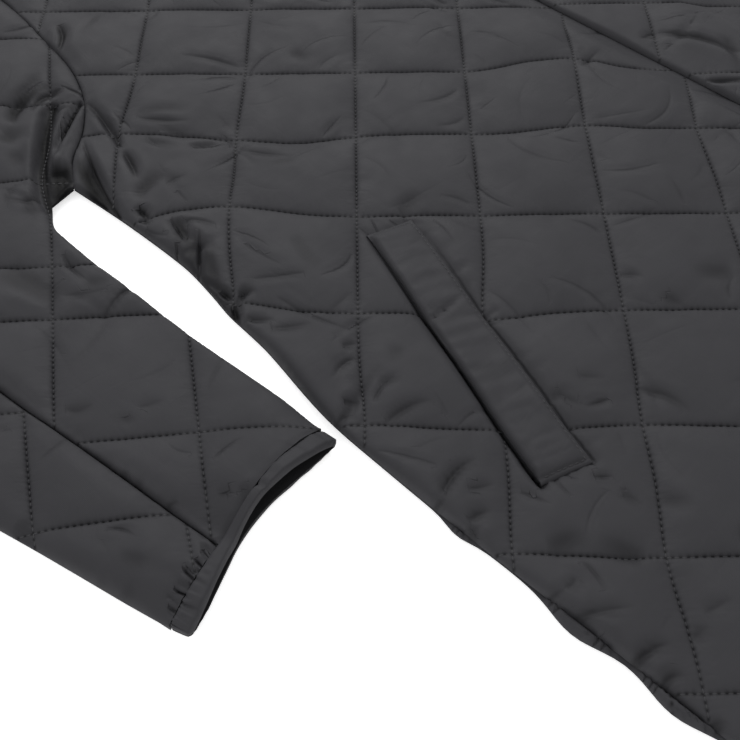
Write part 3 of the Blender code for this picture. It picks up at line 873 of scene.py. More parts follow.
@dataclass
class Panel:
    """A quilted panel: a fine grid along its stitched lines, trimmed to its outline and made a wall."""

    side: Side
    outline: Outline
    quilt: Quilt
    outer: HeightRule
    inner: HeightRule
    cell: float = 1.9 * MM
    level_inner: bool = True
    inner_shell: float = 0.0
    fine_rim: float = 4.5 * MM
    rim_cuts: int = 1
    meets: Sequence[Outline] = ()
    meet_reach: float = 1.5 * MM
    smoothing: int = 2

    def build(self) -> BMesh:
        """The closed wall."""
        mesh = self.grid()
        self.refine(mesh)
        self.trim(mesh)
        self.close(mesh)
        return mesh

    def grid(self) -> BMesh:
        """A sheet of cells over the outline, whose lines follow the stitched ones."""
        lattice = self.quilt.lattice(self.outline.points)
        low, high = lattice.min(axis=0), lattice.max(axis=0)
        rows = self.quilt.places(self.quilt.rows, low[0], high[0], self.cell)
        columns = self.quilt.places(self.quilt.columns, low[1], high[1], self.cell)
        mesh = bmesh.new()
        across, along = len(rows) - 1, len(columns) - 1
        bmesh.ops.create_grid(mesh, x_segments=across, y_segments=along, size=1.0)
        index = np.rint((spots_of(mesh.verts) + 1) / 2 * (across, along)).astype(int)
        points = self.quilt.points(np.column_stack((rows[index[:, 0]], columns[index[:, 1]])))
        for vert, (out, up) in zip(mesh.verts, points):
            vert.co = (out, up, 0.0)
        return mesh

    def refine(self, mesh: BMesh) -> None:
        """Splits the cells beside the outline into finer ones."""
        near = self.outline.distance(middles_of(mesh.faces)) < self.fine_rim
        edges = {edge for face, close in zip(mesh.faces, near) if close for edge in face.edges}
        bmesh.ops.subdivide_edges(mesh, edges=list(edges), cuts=self.rim_cuts, use_grid_fill=True)

    def trim(self, mesh: BMesh) -> None:
        """Cuts the sheet back to the outline, and draws its edge onto it and onto what it meets."""
        within = self.outline.inside(middles_of(mesh.faces))
        outside = [face for face, keep in zip(mesh.faces, within) if not keep]
        bmesh.ops.delete(mesh, geom=outside, context="FACES")
        spurs = [face for face in mesh.faces if sum(edge.is_boundary for edge in face.edges) > 2]
        bmesh.ops.delete(mesh, geom=spurs, context="FACES")
        edge = [vert for vert in mesh.verts if vert.is_boundary]
        spots = spots_of(edge)
        places, _ = self.outline.nearest(spots)
        for corner in self.outline.corners():
            places[np.argmin(((spots - corner) ** 2).sum(axis=1))] = corner
        for neighbour in self.meets:
            shared, gap = neighbour.nearest(places)
            places = np.where(gap[:, None] < self.meet_reach, shared, places)
        for vert, place in zip(edge, places):
            vert.co.x, vert.co.y = place
        beside = {near for vert in edge for link in vert.link_edges for near in link.verts} - set(edge)
        for _ in range(self.smoothing):
            bmesh.ops.smooth_vert(
                mesh, verts=list(beside), factor=0.5, use_axis_x=True, use_axis_y=True, use_axis_z=False
            )

    def close(self, mesh: BMesh) -> None:
        """Gives the sheet its outer and inner heights and the wall between them."""
        points = spots_of(mesh.verts)
        tops, bases = self.outer(points), self.inner(points)
        inner_faces = thickened(mesh, LAYERS.placed(points, tops, self.side), bases)
        plan = middles_of(inner_faces) * (self.side.value, 1.0) + (0.0, LAYERS.half_length)
        for face, distance in zip(inner_faces, self.outline.distance(plan)):
            face.material_index = int(distance >= self.inner_shell)
        if self.level_inner:
            self.level(mesh, inner_faces)
        bmesh.ops.recalc_face_normals(mesh, faces=mesh.faces)

    @staticmethod
    def level(mesh: BMesh, faces: Sequence[BMFace]) -> None:
        """Makes one face of the level ones, which nothing shows of."""
        flat = 1e-6
        floor = sorted(face.verts[0].co.z for face in faces)[len(faces) // 2]
        hidden = [face for face in faces if max(abs(vert.co.z - floor) for vert in face.verts) < flat]
        within = set(hidden)
        rim = {
            edge for face in hidden for edge in face.edges if len(within.intersection(edge.link_faces)) == 1
        }
        index = hidden[len(hidden) // 2].material_index
        bmesh.ops.delete(mesh, geom=hidden, context="FACES")
        rim = [edge for edge in rim if edge.is_valid and edge.is_boundary]
        for face in bmesh.ops.edgeloop_fill(mesh, edges=rim)["faces"]:
            face.material_index = index


def mark_stitches(data: Mesh, quilt: Quilt, side: Side) -> None:
    """Writes UV maps of each point's distance to, and place along, the nearest row and column, in mm."""
    lattice = quilt.lattice(LAYERS.plan(data, side))
    for axis, (word, lines) in enumerate((("rows", quilt.rows), ("columns", quilt.columns))):
        distance = quilt.near(lattice[:, axis], lines)[1]
        write_uv(data, word, np.column_stack((distance, lattice[:, 1 - axis])) / MM)


@dataclass(frozen=True)
class CreaseMarks:
    """Marks troughs for the nylon's finish, in UV maps. Distances are in half-widths.

    "creases" holds the place across the deepest trough nearby, and its depth, which sets its bump and its
    painted shade. "shades" holds the painted shade at the bottoms of wide troughs. Only one is marked at each
    point, and a lesser one fades out beside a deeper one's mark.
    """

    wide: float = 2.2  # from this half-width in mm, a trough's bottom is shaded
    fold: float = 3.5  # above this one, the shade is its only mark
    cell: float = 2.2  # mm by which a mark's distances run on past it
    reach: float = 1.7
    fade: float = 0.7
    least_share: float = 0.12  # the share of depth below which a mark fades out
    darkness: float = 0.25
    darkest: float = 0.96
    steepness: float = 3.5
    unmarked: Pair = (3.0, 0.0)
    beside: float = 0.6
    taken_share: float = 0.03
    taken: float = 0.02

    def write(self, data: Mesh, creases: Sequence[Crease], side: Side) -> None:
        """Writes the two maps.

        Args:
            data: The piece's mesh.
            creases: All its creases.
            side: The side that it lies on.
        """
        points = LAYERS.plan(data, side)
        marks, shades = np.tile(self.unmarked, (len(points), 1)), np.zeros((len(points), 2))
        clear = np.ones(len(points))
        for crease in sorted(creases, key=lambda crease: crease.rise * crease.shade):
            if crease.rise * crease.shade >= 0:
                continue
            close, away, share = crease.across(points)
            depth = -crease.rise * crease.shade * share
            # Painted shade at a wide trough's bottom
            if crease.half_width >= self.wide:
                closed = np.exp(-2.0 * np.abs(away) ** self.steepness)
                closed = np.minimum(self.darkness * depth, self.darkest) * closed
                shades[close, 0] = np.maximum(shades[close, 0], closed)
            if crease.half_width > self.fold:
                continue
            within = ease((self.reach - np.abs(away)) / self.fade) * ease(share / self.least_share)
            if (clear[close] * within).sum() > 0.5 * within.sum():
                border = self.reach + self.cell / crease.half_width - np.abs(away)
                free = (border > 0) & (share > 0) & (clear[close] > 0)
                marks[close[free]] = np.column_stack((away, depth * within * clear[close]))[free]
                clear[close] *= 1 - ease(border / self.beside + 1) * ease(share / self.taken_share)
                clear[clear < self.taken] = 0
        write_uv(data, "creases", marks)
        write_uv(data, "shades", shades)


def dressed(name: str, mesh: BMesh, finishes: Sequence[Material], slot: Slot, *nodes: str) -> Object:
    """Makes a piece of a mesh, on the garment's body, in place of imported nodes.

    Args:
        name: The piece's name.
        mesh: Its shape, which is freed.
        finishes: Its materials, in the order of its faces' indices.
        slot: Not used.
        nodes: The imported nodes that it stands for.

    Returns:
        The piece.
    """
    data = bpy.data.meshes.new(name)
    mesh.to_mesh(data)
    mesh.free()
    data.shade_smooth()
    data.set_sharp_from_angle(angle=math.radians(SMOOTH_TURN))
    for finish in finishes:
        data.materials.append(finish)
    piece = added(name, data)
    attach(piece, "root")
    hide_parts(*nodes)
    triangles = len(data.loops) - 2 * len(data.polygons)
    LOG.info("%s: %d triangles", name, triangles)
    return piece


# Finishes


class Tree:
    """A material's node tree, with short calls to fill it."""

    def __init__(self, name: str) -> None:
        """Starts a material that holds one Principled BSDF."""
        self.material = bpy.data.materials.new(name)
        self.material.use_nodes = True
        self.nodes, self.links = self.material.node_tree.nodes, self.material.node_tree.links
        self.shader = self.nodes["Principled BSDF"]

    def add(self, kind: str, **values: object) -> ShaderNode:
        """A node with properties or, by their names, inputs.

        Args:
            kind: The node's type, without its ShaderNode prefix.
            values: Properties, or inputs whose names have _ for spaces.

        Returns:
            The node.
        """
        made = self.nodes.new("ShaderNode" + kind)
        for key, value in values.items():
            if hasattr(made, key):
                setattr(made, key, value)
            else:
                self.fill(made.inputs[key.replace("_", " ")], value)
        return made

    def fill(self, socket: object, value: object) -> None:
        """Gives a socket a constant, or joins another socket to it."""
        if isinstance(value, (int, float, tuple)):
            socket.default_value = value
        else:
            self.links.new(value, socket)

    def set(self, **values: object) -> None:
        """Fills the shader's own sockets, whose names have _ for spaces."""
        for key, value in values.items():
            self.fill(self.shader.inputs[key.replace("_", " ")], value)

    def math(self, operation: str, first: object, second: object = 0.0) -> object:
        """The output of a Math node on sockets or numbers."""
        made = self.add("Math", operation=operation)
        for socket, value in zip(made.inputs, (first, second)):
            self.fill(socket, value)
        return made.outputs[0]

    def times(self, first: object, *others: object) -> object:
        """The product of sockets or numbers."""
        for other in others:
            first = self.math("MULTIPLY", first, other)
        return first

    def plus(self, first: object, second: object) -> object:
        """The sum of two sockets or numbers."""
        return self.math("ADD", first, second)

    def minus(self, first: object, second: object) -> object:
        """The difference of two sockets or numbers."""
        return self.math("SUBTRACT", first, second)

    def faded(self, distance: object, rate: float) -> object:
        """1 at no distance, and less the farther."""
        return self.math("EXPONENT", self.times(distance, -rate))

    def stretched(self, place: object, stretch: Triple) -> object:
        """A place, scaled along its axes."""
        made = self.add("VectorMath", operation="MULTIPLY")
        made.inputs[1].default_value = stretch
        self.fill(made.inputs[0], place)
        return made.outputs[0]

    def noise(self, place: object, scale: float, detail: float = 2.0, warp: float = 0.0) -> object:
        """The value of a Noise Texture on a place."""
        made = self.add("TexNoise", Vector=place, Scale=scale, Detail=detail, Roughness=0.55, Distortion=warp)
        return made.outputs["Fac"]

    def spread(self, value: object, low: float = 0.0, high: float = 1.0) -> object:
        """A noise's middle values, spread from low to high."""
        made = self.add("MapRange", Value=value, From_Min=0.3, From_Max=0.7, To_Min=low, To_Max=high)
        return made.outputs[0]

    def mix(self, share: object, first: object, second: object) -> object:
        """A colour between two."""
        return self.add("MixRGB", Fac=share, Color1=first, Color2=second).outputs[0]

    def uv(self, word: str) -> tuple[object, object, object]:
        """A UV map as a place, and its two values."""
        place, parts = self.add("UVMap", uv_map=word).outputs[0], self.add("SeparateXYZ")
        self.fill(parts.inputs[0], place)
        return place, parts.outputs[0], parts.outputs[1]

    def bump(self, height: object, strength: float, distance: float) -> None:
        """Raises the surface by a height."""
        made = self.add("Bump", Strength=strength, Distance=distance, Height=height)
        self.set(Normal=made.outputs[0])


@dataclass(frozen=True)
class Nylon:
    """Charcoal taffeta: two close greys, a fine weave, fine crinkles, puckers at the stitches, and painted
    shade in the stitches' holes and the creases' bottoms.

    Heights are in millimetres. A fade is a rate over a distance or its square, which a UV map holds in
    millimetres from a stitched line, and in half-widths from a crease's bottom.
    """

    name: str
    light: Colour = (0.0392, 0.0388, 0.0422, 1.0)
    dark: Colour = (0.0342, 0.0339, 0.0370, 1.0)
    # The near black of the painted shade at needle holes and crease bottoms
    painted_shade: Colour = (0.0012, 0.0012, 0.0014, 1.0)
    quilted: bool = True
    roughness: Pair = (0.46, 0.6)
    weave: float = 0.5 * MM
    wave_scale: float = 0.314  # a Wave Texture of this scale repeats once in a unit
    thread_height: float = 0.012
    crinkle: float = 0.16
    crinkle_stretches: tuple[Triple, ...] = ((120.0, 34.0, 60.0), (40.0, 130.0, 60.0))
    # How the painted shade along a stitched line fades, how deep it is, and how much it changes from hole to
    # hole
    hole_shade_fade: float = 2.6
    hole_shade_depth: float = 0.38
    hole_shade_change: float = 0.3
    bead_fade: float = 0.9
    bead_height: float = -0.09
    pucker_fade: float = 0.24
    pucker_height: float = 0.6
    pucker_stretch: Triple = (0.09, 0.26, 1.0)
    bottom_fade: float = 6.0
    ridge_fade: float = 3.0
    ridge_height: float = 0.45
    crease_height: float = 0.3
    deepest: float = 1.5
    shade_fade: float = 3.0
    shade_depth: float = 0.22
    darkest: float = 0.96

    def stitch_marks(self, tree: Tree, word: str) -> tuple[object, object]:
        """The marks of one family of stitched lines.

        Args:
            tree: The material's tree.
            word: The UV map of that family.

        Returns:
            The sockets of its painted shade along the line and in its needle holes, and of its height in
            millimetres.
        """
        place, far, along = tree.uv(word)
        square = tree.times(far, far)
        wave = tree.math("COSINE", tree.times(along, 2 * math.pi * MM / Sewing.pitch))
        # Painted shade along the stitched line, deepest at each needle hole
        holes = tree.plus(tree.times(wave, self.hole_shade_change), self.hole_shade_depth)
        dark = tree.times(tree.faded(square, self.hole_shade_fade), holes)
        beads = tree.times(wave, tree.faded(square, self.bead_fade), self.bead_height)
        folds = tree.minus(tree.noise(tree.stretched(place, self.pucker_stretch), 1.0, 1.5, 0.4), 0.5)
        puckers = tree.times(folds, tree.faded(far, self.pucker_fade), self.pucker_height)
        return dark, tree.plus(beads, puckers)

    def crease_marks(self, tree: Tree) -> tuple[object, object]:
        """The sharp bottoms of the creases: their painted shade, and their height in millimetres."""
        _, across, deep = tree.uv("creases")
        square = tree.times(across, across)
        beside = tree.minus(across, 1.0)
        ridge = tree.times(tree.faded(tree.times(beside, beside), self.ridge_fade), self.ridge_height)
        fold = tree.minus(ridge, tree.faded(square, self.bottom_fade))
        height = tree.times(fold, tree.times(tree.math("MINIMUM", deep, self.deepest), self.crease_height))
        closed = tree.math("MINIMUM", tree.times(deep, self.shade_depth), self.darkest)
        narrow = tree.times(tree.faded(square, self.shade_fade), closed)
        return tree.math("MAXIMUM", narrow, tree.uv("shades")[1]), height

    def crinkles(self, tree: Tree, spot: object) -> object:
        """Soft fine creases in two directions, as a height in millimetres."""
        total: object = 0.0
        for stretch in self.crinkle_stretches:
            total = tree.plus(total, tree.noise(tree.stretched(spot, stretch), 1.0, 2.0, 0.8))
        return tree.times(total, self.crinkle)

    def woven(self, tree: Tree, spot: object, height: object) -> object:
        """A height with the threads of the weave added."""
        scale = self.wave_scale / self.weave
        for kind in "XY":
            threads = tree.add("TexWave", bands_direction=kind, Vector=spot, Scale=scale, Distortion=0.6)
            height = tree.plus(height, tree.times(threads.outputs["Fac"], self.thread_height))
        return height

    def material(self) -> Material:
        """Builds the material."""
        tree = Tree(self.name)
        spot = tree.add("TexCoord").outputs["Object"]
        colour = tree.mix(tree.spread(tree.noise(spot, 26.0, 4.0)), self.dark, self.light)
        height = self.woven(tree, spot, self.crinkles(tree, spot))
        if self.quilted:
            # Painted shade: crease bottoms and needle holes mix the colour towards a near black
            painted_shade_share, relief = self.crease_marks(tree)
            height = tree.plus(height, relief)
            for word in ("rows", "columns"):
                dark, relief = self.stitch_marks(tree, word)
                height = tree.plus(height, relief)
                painted_shade_share = tree.math("MAXIMUM", painted_shade_share, dark)
            colour = tree.mix(painted_shade_share, colour, self.painted_shade)
        gloss = tree.spread(tree.noise(spot, 60.0), *self.roughness)
        tree.set(Specular_IOR_Level=0.05, Roughness=gloss, Base_Color=colour)
        tree.bump(height, 1.0, 1.0 * MM)
        return tree.material


@dataclass(frozen=True)
class Plain:
    """A matt cloth with a fine grain, such as the lining or the thread."""

    name: str
    colour: Colour
    roughness: float = 0.6
    grain: float = 900.0
    brighter: float = 1.5

    def material(self) -> Material:
        """Builds the material."""
        tree = Tree(self.name)
        grain = tree.noise(tree.add("TexCoord").outputs["Object"], self.grain)
        bright = tuple(self.brighter * part for part in self.colour[:3]) + (1.0,)
        colour = tree.mix(grain, self.colour, bright)
        tree.set(Roughness=self.roughness, Specular_IOR_Level=0.1, Base_Color=colour)
        tree.bump(grain, 0.4, 0.3 * MM)
        return tree.material


@dataclass
class Wardrobe:
    """The garment's finishes, made once."""

    shell: Material = field(default_factory=Nylon("nylon_quilted").material)
    plain: Material = field(default_factory=Nylon("nylon_plain", quilted=False, crinkle=0.3).material)
    lining: Material = field(default_factory=Plain("lining", (0.012, 0.012, 0.013, 1.0), 0.8).material)
    thread: Material = field(
        default_factory=Plain("thread", (0.034, 0.034, 0.036, 1.0), 0.5, 2500.0).material
    )


def quilted_piece(node: str, mesh: BMesh, relief: Relief, side: Side, wardrobe: Wardrobe) -> Object:
    """Makes a quilted panel's piece, with the UV maps that its finish reads.

    Args:
        node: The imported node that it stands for.
        mesh: Its shape, which is freed.
        relief: Its outer face, with its quilting and creases.
        side: The side that it lies on.
        wardrobe: The finishes.

    Returns:
        The piece.
    """
    piece = dressed(f"{node}_shell", mesh, (wardrobe.shell, wardrobe.lining), Slot.SHELL, node)
    mark_stitches(piece.data, relief.quilt, side)
    CreaseMarks().write(piece.data, relief.creases, side)
    return piece


# Sub-assemblies


@dataclass
class Welt:
    """A pocket's slanted welt: a folded strip, sewn down but for its outer long edge, the pocket's mouth."""

    side: Side
    length: float = 0.152
    width: float = 0.0235
    centre: Pair = (0.2345, 0.2310)
    lean: float = math.radians(19.5)
    edge_wall: float = 0.8 * MM
    tuck: float = 0.8 * MM
    rise: float = 2.6 * MM
    mouth_gap: float = 0.7 * MM
    mouth_width: float = 0.8 * MM
    cells: tuple[int, int] = (132, 26)
    folds: int = 11
    pressed_reach: float = 10.0 * MM
    stitched_in: float = 2.2 * MM
    groove: float = 0.6 * MM
    groove_width: float = 0.75 * MM
    dent: float = 2.0 * MM

    @property
    def ways(self) -> tuple[Array, Array]:
        """Unit vectors along it, upwards, and across it, outwards."""
        along = np.array((-math.sin(self.lean), math.cos(self.lean)))
        return along, np.array((along[1], -along[0]))

    def local(self, points: Array) -> Array:
        """Each point's place along and across the welt, from its middle."""
        offset = points - np.array(self.centre)
        return np.column_stack([offset @ way for way in self.ways])

    def spots(self, local: Array) -> Array:
        """The reverse of local."""
        along, across = self.ways
        return np.array(self.centre) + local[:, :1] * along + local[:, 1:] * across

    def outline(self) -> Outline:
        """Its rectangle."""
        half = np.array((self.length, self.width)) / 2
        signs = np.array(((-1, -1), (-1, 1), (1, 1), (1, -1)))
        return Outline(self.spots(signs * half))

    def press(self, points: Array) -> Array:
        """The share of the front's padding that is left under and beside the welt."""
        outline = self.outline()
        clear = rounded(outline.distance(points), self.pressed_reach)
        return at_least(0.3, np.where(outline.inside(points), 0.0, clear))

    def creases(self) -> list[Crease]:
        """The troughs and folds in the front round the welt, deepest along the pocket's mouth."""
        half, beside = self.length / 2 / MM - 1.0, (self.width + self.mouth_width) / 2 / MM - 0.4
        start, end = self.spots(np.array(((half, beside), (-half, beside))) * MM) / MM
        sewn = -(self.width / 2 + 0.8 * MM) / MM
        seam = self.spots(np.array(((half + 2, sewn), (-half, sewn))) * MM) / MM
        return [
            # The pocket's mouth and the sewn edge are troughs with extra painted shade at their bottoms
            Crease(*start, *end, 1.6, -2.2, keep=1.0, shoulders=0.1, shade=1.9),
            Crease(*seam[0], *seam[1], 1.6, -1.1, keep=1.0, shoulders=0.1, shade=1.6),
            *self.gathers((-half, half), sewn, random.Random(12)),
        ]

    def gathers(self, span: Pair, sewn: float, draw: random.Random) -> list[Crease]:
        """Short folds in the front that lead into the sewn edge and the ends.

        Args:
            span: The two ends of the strip, along it, in millimetres.
            sewn: The sewn edge's place across it.
            draw: The source of chance.

        Returns:
            The folds.
        """
        ends = []
        for index in range(self.folds):
            along = span[0] + (span[1] - span[0]) * (index + draw.uniform(0.1, 0.9)) / self.folds
            ends.append(((along + draw.uniform(-5, 5), sewn - draw.uniform(6, 15)), (along, sewn)))
        for sign in (-1, 1):
            for place in np.linspace(-9, 11, 5):
                reach = draw.uniform(6, 15)
                start = (sign * (span[1] + reach), place + draw.uniform(-5, 5))
                ends.append((start, (sign * (span[1] + 1), place)))
        found = []
        for start, end in ends:
            spots = self.spots(np.array((start, end)) * MM) / MM
            half_width, depth = draw.uniform(0.9, 1.5), draw.uniform(0.4, 1.2)
            found.append(Crease(*spots[0], *spots[1], half_width, -depth, keep=1.0))
        return found

    def top(self, local: Array) -> Array:
        """Its padding's height over its lower face."""
        half_length, half_width = self.length / 2, self.width / 2
        sewn, free = half_width + local[:, 1], half_width - local[:, 1]
        to_end = half_length - np.abs(local[:, 0])
        arch = rounded(sewn, 5.0 * MM) ** 1.4 * rounded(free, 2.6 * MM) * ease(to_end / (8 * MM)) ** 0.7
        ripple = 0.45 * MM * wander(local, 0.015, 4.2) + 0.5 * MM * wander(local * (1.0, 0.3), 0.0045, 8.8)
        dent = self.dent * bell(local[:, 0] - 0.019 + 0.35 * local[:, 1], 1.3 * MM, 1.5)
        dent *= ease((local[:, 1] + 0.013) / 0.016)
        line = np.minimum(sewn, to_end)
        groove = self.groove * bell(line - self.stitched_in, self.groove_width)
        return (self.rise + ripple - dent) * arch - groove * rounded(line, 1.5 * MM)

    def faces(self, local: Array, front: HeightRule) -> tuple[Array, Array]:
        """The heights of its lower and upper faces at places along and across it."""
        to_end = self.length / 2 - np.abs(local[:, 0])
        opened = ease((local[:, 1] / self.width + 0.15) / 0.65) * rounded(to_end, 16 * MM)
        bed = self.bed(self.spots(local), front) + LAYERS.gap / 3
        held = rounded(np.minimum(to_end, self.width / 2 + local[:, 1]), 3 * MM)
        bed -= self.tuck * (1 - held)
        low = bed + self.mouth_gap * opened * (1.0 + 0.25 * wander(local[:, :1] * (1.0, 0.0), 0.02, 7.7))
        return low, low + self.edge_wall * at_least(0.4, held) + np.maximum(self.top(local), 0.0)

    def build(self, front: HeightRule, wardrobe: Wardrobe) -> None:
        """Makes the strip and its edge stitching.

        Args:
            front: The front's height at points of the plan.
            wardrobe: The finishes.
        """
        mesh = bmesh.new()
        bmesh.ops.create_grid(mesh, x_segments=self.cells[0], y_segments=self.cells[1], size=0.5)
        flat = spots_of(mesh.verts)
        bunched = np.sin(math.pi * flat * 0.9) / math.sin(0.45 * math.pi) / 2
        local = bunched * (self.length, self.width)
        edges = np.column_stack((local[:, 0], np.sign(local[:, 1])))
        local[:, 1] += 0.55 * MM * wander(edges, 0.03, 2.2) * np.abs(bunched[:, 1] * 2)
        local[:, 0] += 0.5 * MM * wander(np.column_stack((local[:, 1], np.sign(local[:, 0]))), 0.012, 5.2)
        low, high = self.faces(local, front)
        for face in thickened(mesh, LAYERS.placed(self.spots(local), high, self.side), low):
            face.material_index = 1
        bmesh.ops.recalc_face_normals(mesh, faces=mesh.faces)
        name = f"welt_{self.side.word}"
        piece = dressed(f"{name}_cover", mesh, (wardrobe.plain, wardrobe.lining), Slot.WELT, name)
        self.sew(front, wardrobe)

    def bed(self, points: Array, front: HeightRule) -> Array:
        """The height that the welt lies at: the front's own, with its stitched lines bridged."""
        along, across = self.ways
        shifts = [along * a + across * b for a in (-9 * MM, 0, 9 * MM) for b in (-4 * MM, 0, 4 * MM)]
        around = np.mean([front(points + shift) for shift in shifts], axis=0)
        return np.maximum(around, front(points) + 0.1 * MM)

    def sew(self, front: HeightRule, wardrobe: Wardrobe) -> None:
        """Stitches its inner long edge and both ends."""
        sewing = Sewing(f"welt_{self.side.word}_stitches", self.side)
        half = np.array((self.length, self.width)) / 2 - self.stitched_in
        corners = np.array(((1, 1), (1, -1), (-1, -1), (-1, 1))) * half
        share = np.linspace(0, 1, 220)[:, None]
        for start, end in zip(corners, corners[1:]):
            line = self.spots(start + (end - start) * share)
            sewing.run(line, lambda points: self.faces(self.local(points), front)[1])
        sewing.make(wardrobe.thread)


@dataclass
class Front:
    """A front, its quilting, and the welt on it."""

    side: Side
    quilt: Quilt
    creases: Sequence[Crease]
    cell: float

    def build(self, wardrobe: Wardrobe) -> None:
        """Makes the panel, its stitches and its welt."""
        node = f"front_{self.side.word}"
        outline = Outline.of_node(node, self.side, Facing.DOWN)[0].smooth()
        welt = Welt(self.side)
        small = Wrinkles(seed=5 + self.side.value).creases(self.quilt, outline)
        relief = Relief(
            self.quilt,
            outline,
            LAYERS.lapped if self.side is Side.LEFT else LAYERS.upper,
            seed=11.3 if self.side is Side.RIGHT else 27.9,
            neighbours=Outline.of_node(f"sleeve_top_{self.side.word}", self.side, Facing.DOWN),
            creases=[*self.creases, *small, *welt.creases()],
            press=lambda points: welt.press(points) * self.lap_share(points),
            wide_fold=self.beside_arm,
        )
        panel = Panel(self.side, outline, self.quilt, relief.height, relief.base, self.cell)
        piece = quilted_piece(node, panel.build(), relief, self.side, wardrobe)
        cover = welt.outline()
        sewing = Sewing(f"{node}_stitches", self.side)
        sewing.quilt(relief, lambda points: self.uncovered(points, cover))
        sewing.make(wardrobe.thread)
        welt.build(relief.height, wardrobe)

    @staticmethod
    def beside_arm(points: Array) -> Array:
        """How much wider the side edge's fold is below the armpit."""
        return 13 * MM * ease((points[:, 1] - 0.30) / 0.05) * (points[:, 1] < 0.47)

    def lap_share(self, points: Array) -> Array:
        """The share of the padding that is left at the lap of the two fronts."""
        return LAYERS.outside_lap(points) if self.side is Side.RIGHT else LAYERS.lap_border(points)

    def uncovered(self, points: Array, cover: Outline) -> Array:
        """1 where neither the welt nor the other front covers this one."""
        lapped = (points[:, 0] < LAYERS.lap_edge) & (self.side is Side.RIGHT)
        return (~cover.inside(points) & ~lapped).astype(float)


@dataclass(frozen=True)
class Mouth:
    """A sleeve's open end, in the plan: the lip's two corners, how far it gapes, and how it curves."""

    inner: Pair = (0.3092, 0.2355)
    outer: Pair = (0.4045, 0.2140)
    band: float = 9.0 * MM
    hollow: float = 4.0 * MM
    gape: float = 9.0 * MM
    depth: float = 0.085
    flare: float = 0.11
    skew: float = 0.8
    fade: float = 1.4
    lip_hollow: float = 4.5 * MM
    smoothing: int = 17
    openings: tuple[Pair, ...] = (
        (0.0, 0.0),
        (0.10, 0.60),
        (0.24, 1.0),
        (0.42, 1.0),
        (0.52, 0.62),
        (0.61, 0.14),
        (0.70, 0.40),
        (0.79, 0.52),
        (0.89, 0.36),
        (1.0, 0.0),
    )

    @property
    def ways(self) -> tuple[Array, Array, float]:
        """Unit vectors across the lip, outwards, and up the sleeve, and the lip's width."""
        run = np.array(self.outer) - np.array(self.inner)
        width = float(np.linalg.norm(run))
        across = run / width
        return across, np.array((-across[1], across[0])), width

    def curve(self, part: Array) -> Array:
        """How far the lip curves back at a part of the way from its inner corner."""
        return self.hollow * np.sin(math.pi * np.clip(part, 0, 1) ** self.skew)

    def place(self, part: Array, depth: Array) -> Array:
        """The point at a part of the way across and a depth up the sleeve."""
        across, up_sleeve, width = self.ways
        middle = (np.array(self.inner) + np.array(self.outer)) / 2
        wide = width + 2 * self.flare * depth
        arch = np.sin(math.pi * np.clip(part, 0, 1)) ** 2.5
        hollow = self.lip_hollow * arch * np.clip(1 - depth / self.band, 0, 1)
        risen = depth + self.curve(part) + hollow
        return middle + up_sleeve * risen[:, None] + across * (wide * (part - 0.5))[:, None]

    def local(self, points: Array) -> tuple[Array, Array]:
        """The reverse of place: parts and depths."""
        across, up_sleeve, width = self.ways
        offset = points - (np.array(self.inner) + np.array(self.outer)) / 2
        depth = offset @ up_sleeve
        part = offset @ across / (width + 2 * self.flare * depth) + 0.5
        return part, depth - self.curve(part)

    def rise(self, points: Array) -> Array:
        """How far the upper wall stands off the lower one, least where the sleeve's seam holds it down."""
        part, depth = self.local(points)
        faded = np.clip(1 - depth / self.depth, 0, 1) ** self.fade
        grid = np.linspace(-0.25, 1.25, 301)
        shares = np.interp(grid, *np.array(self.openings).T)
        window = np.hanning(self.smoothing + 2)
        smooth = np.convolve(shares, window / window.sum(), mode="same")
        return self.gape * faded * np.interp(part, grid, smooth)


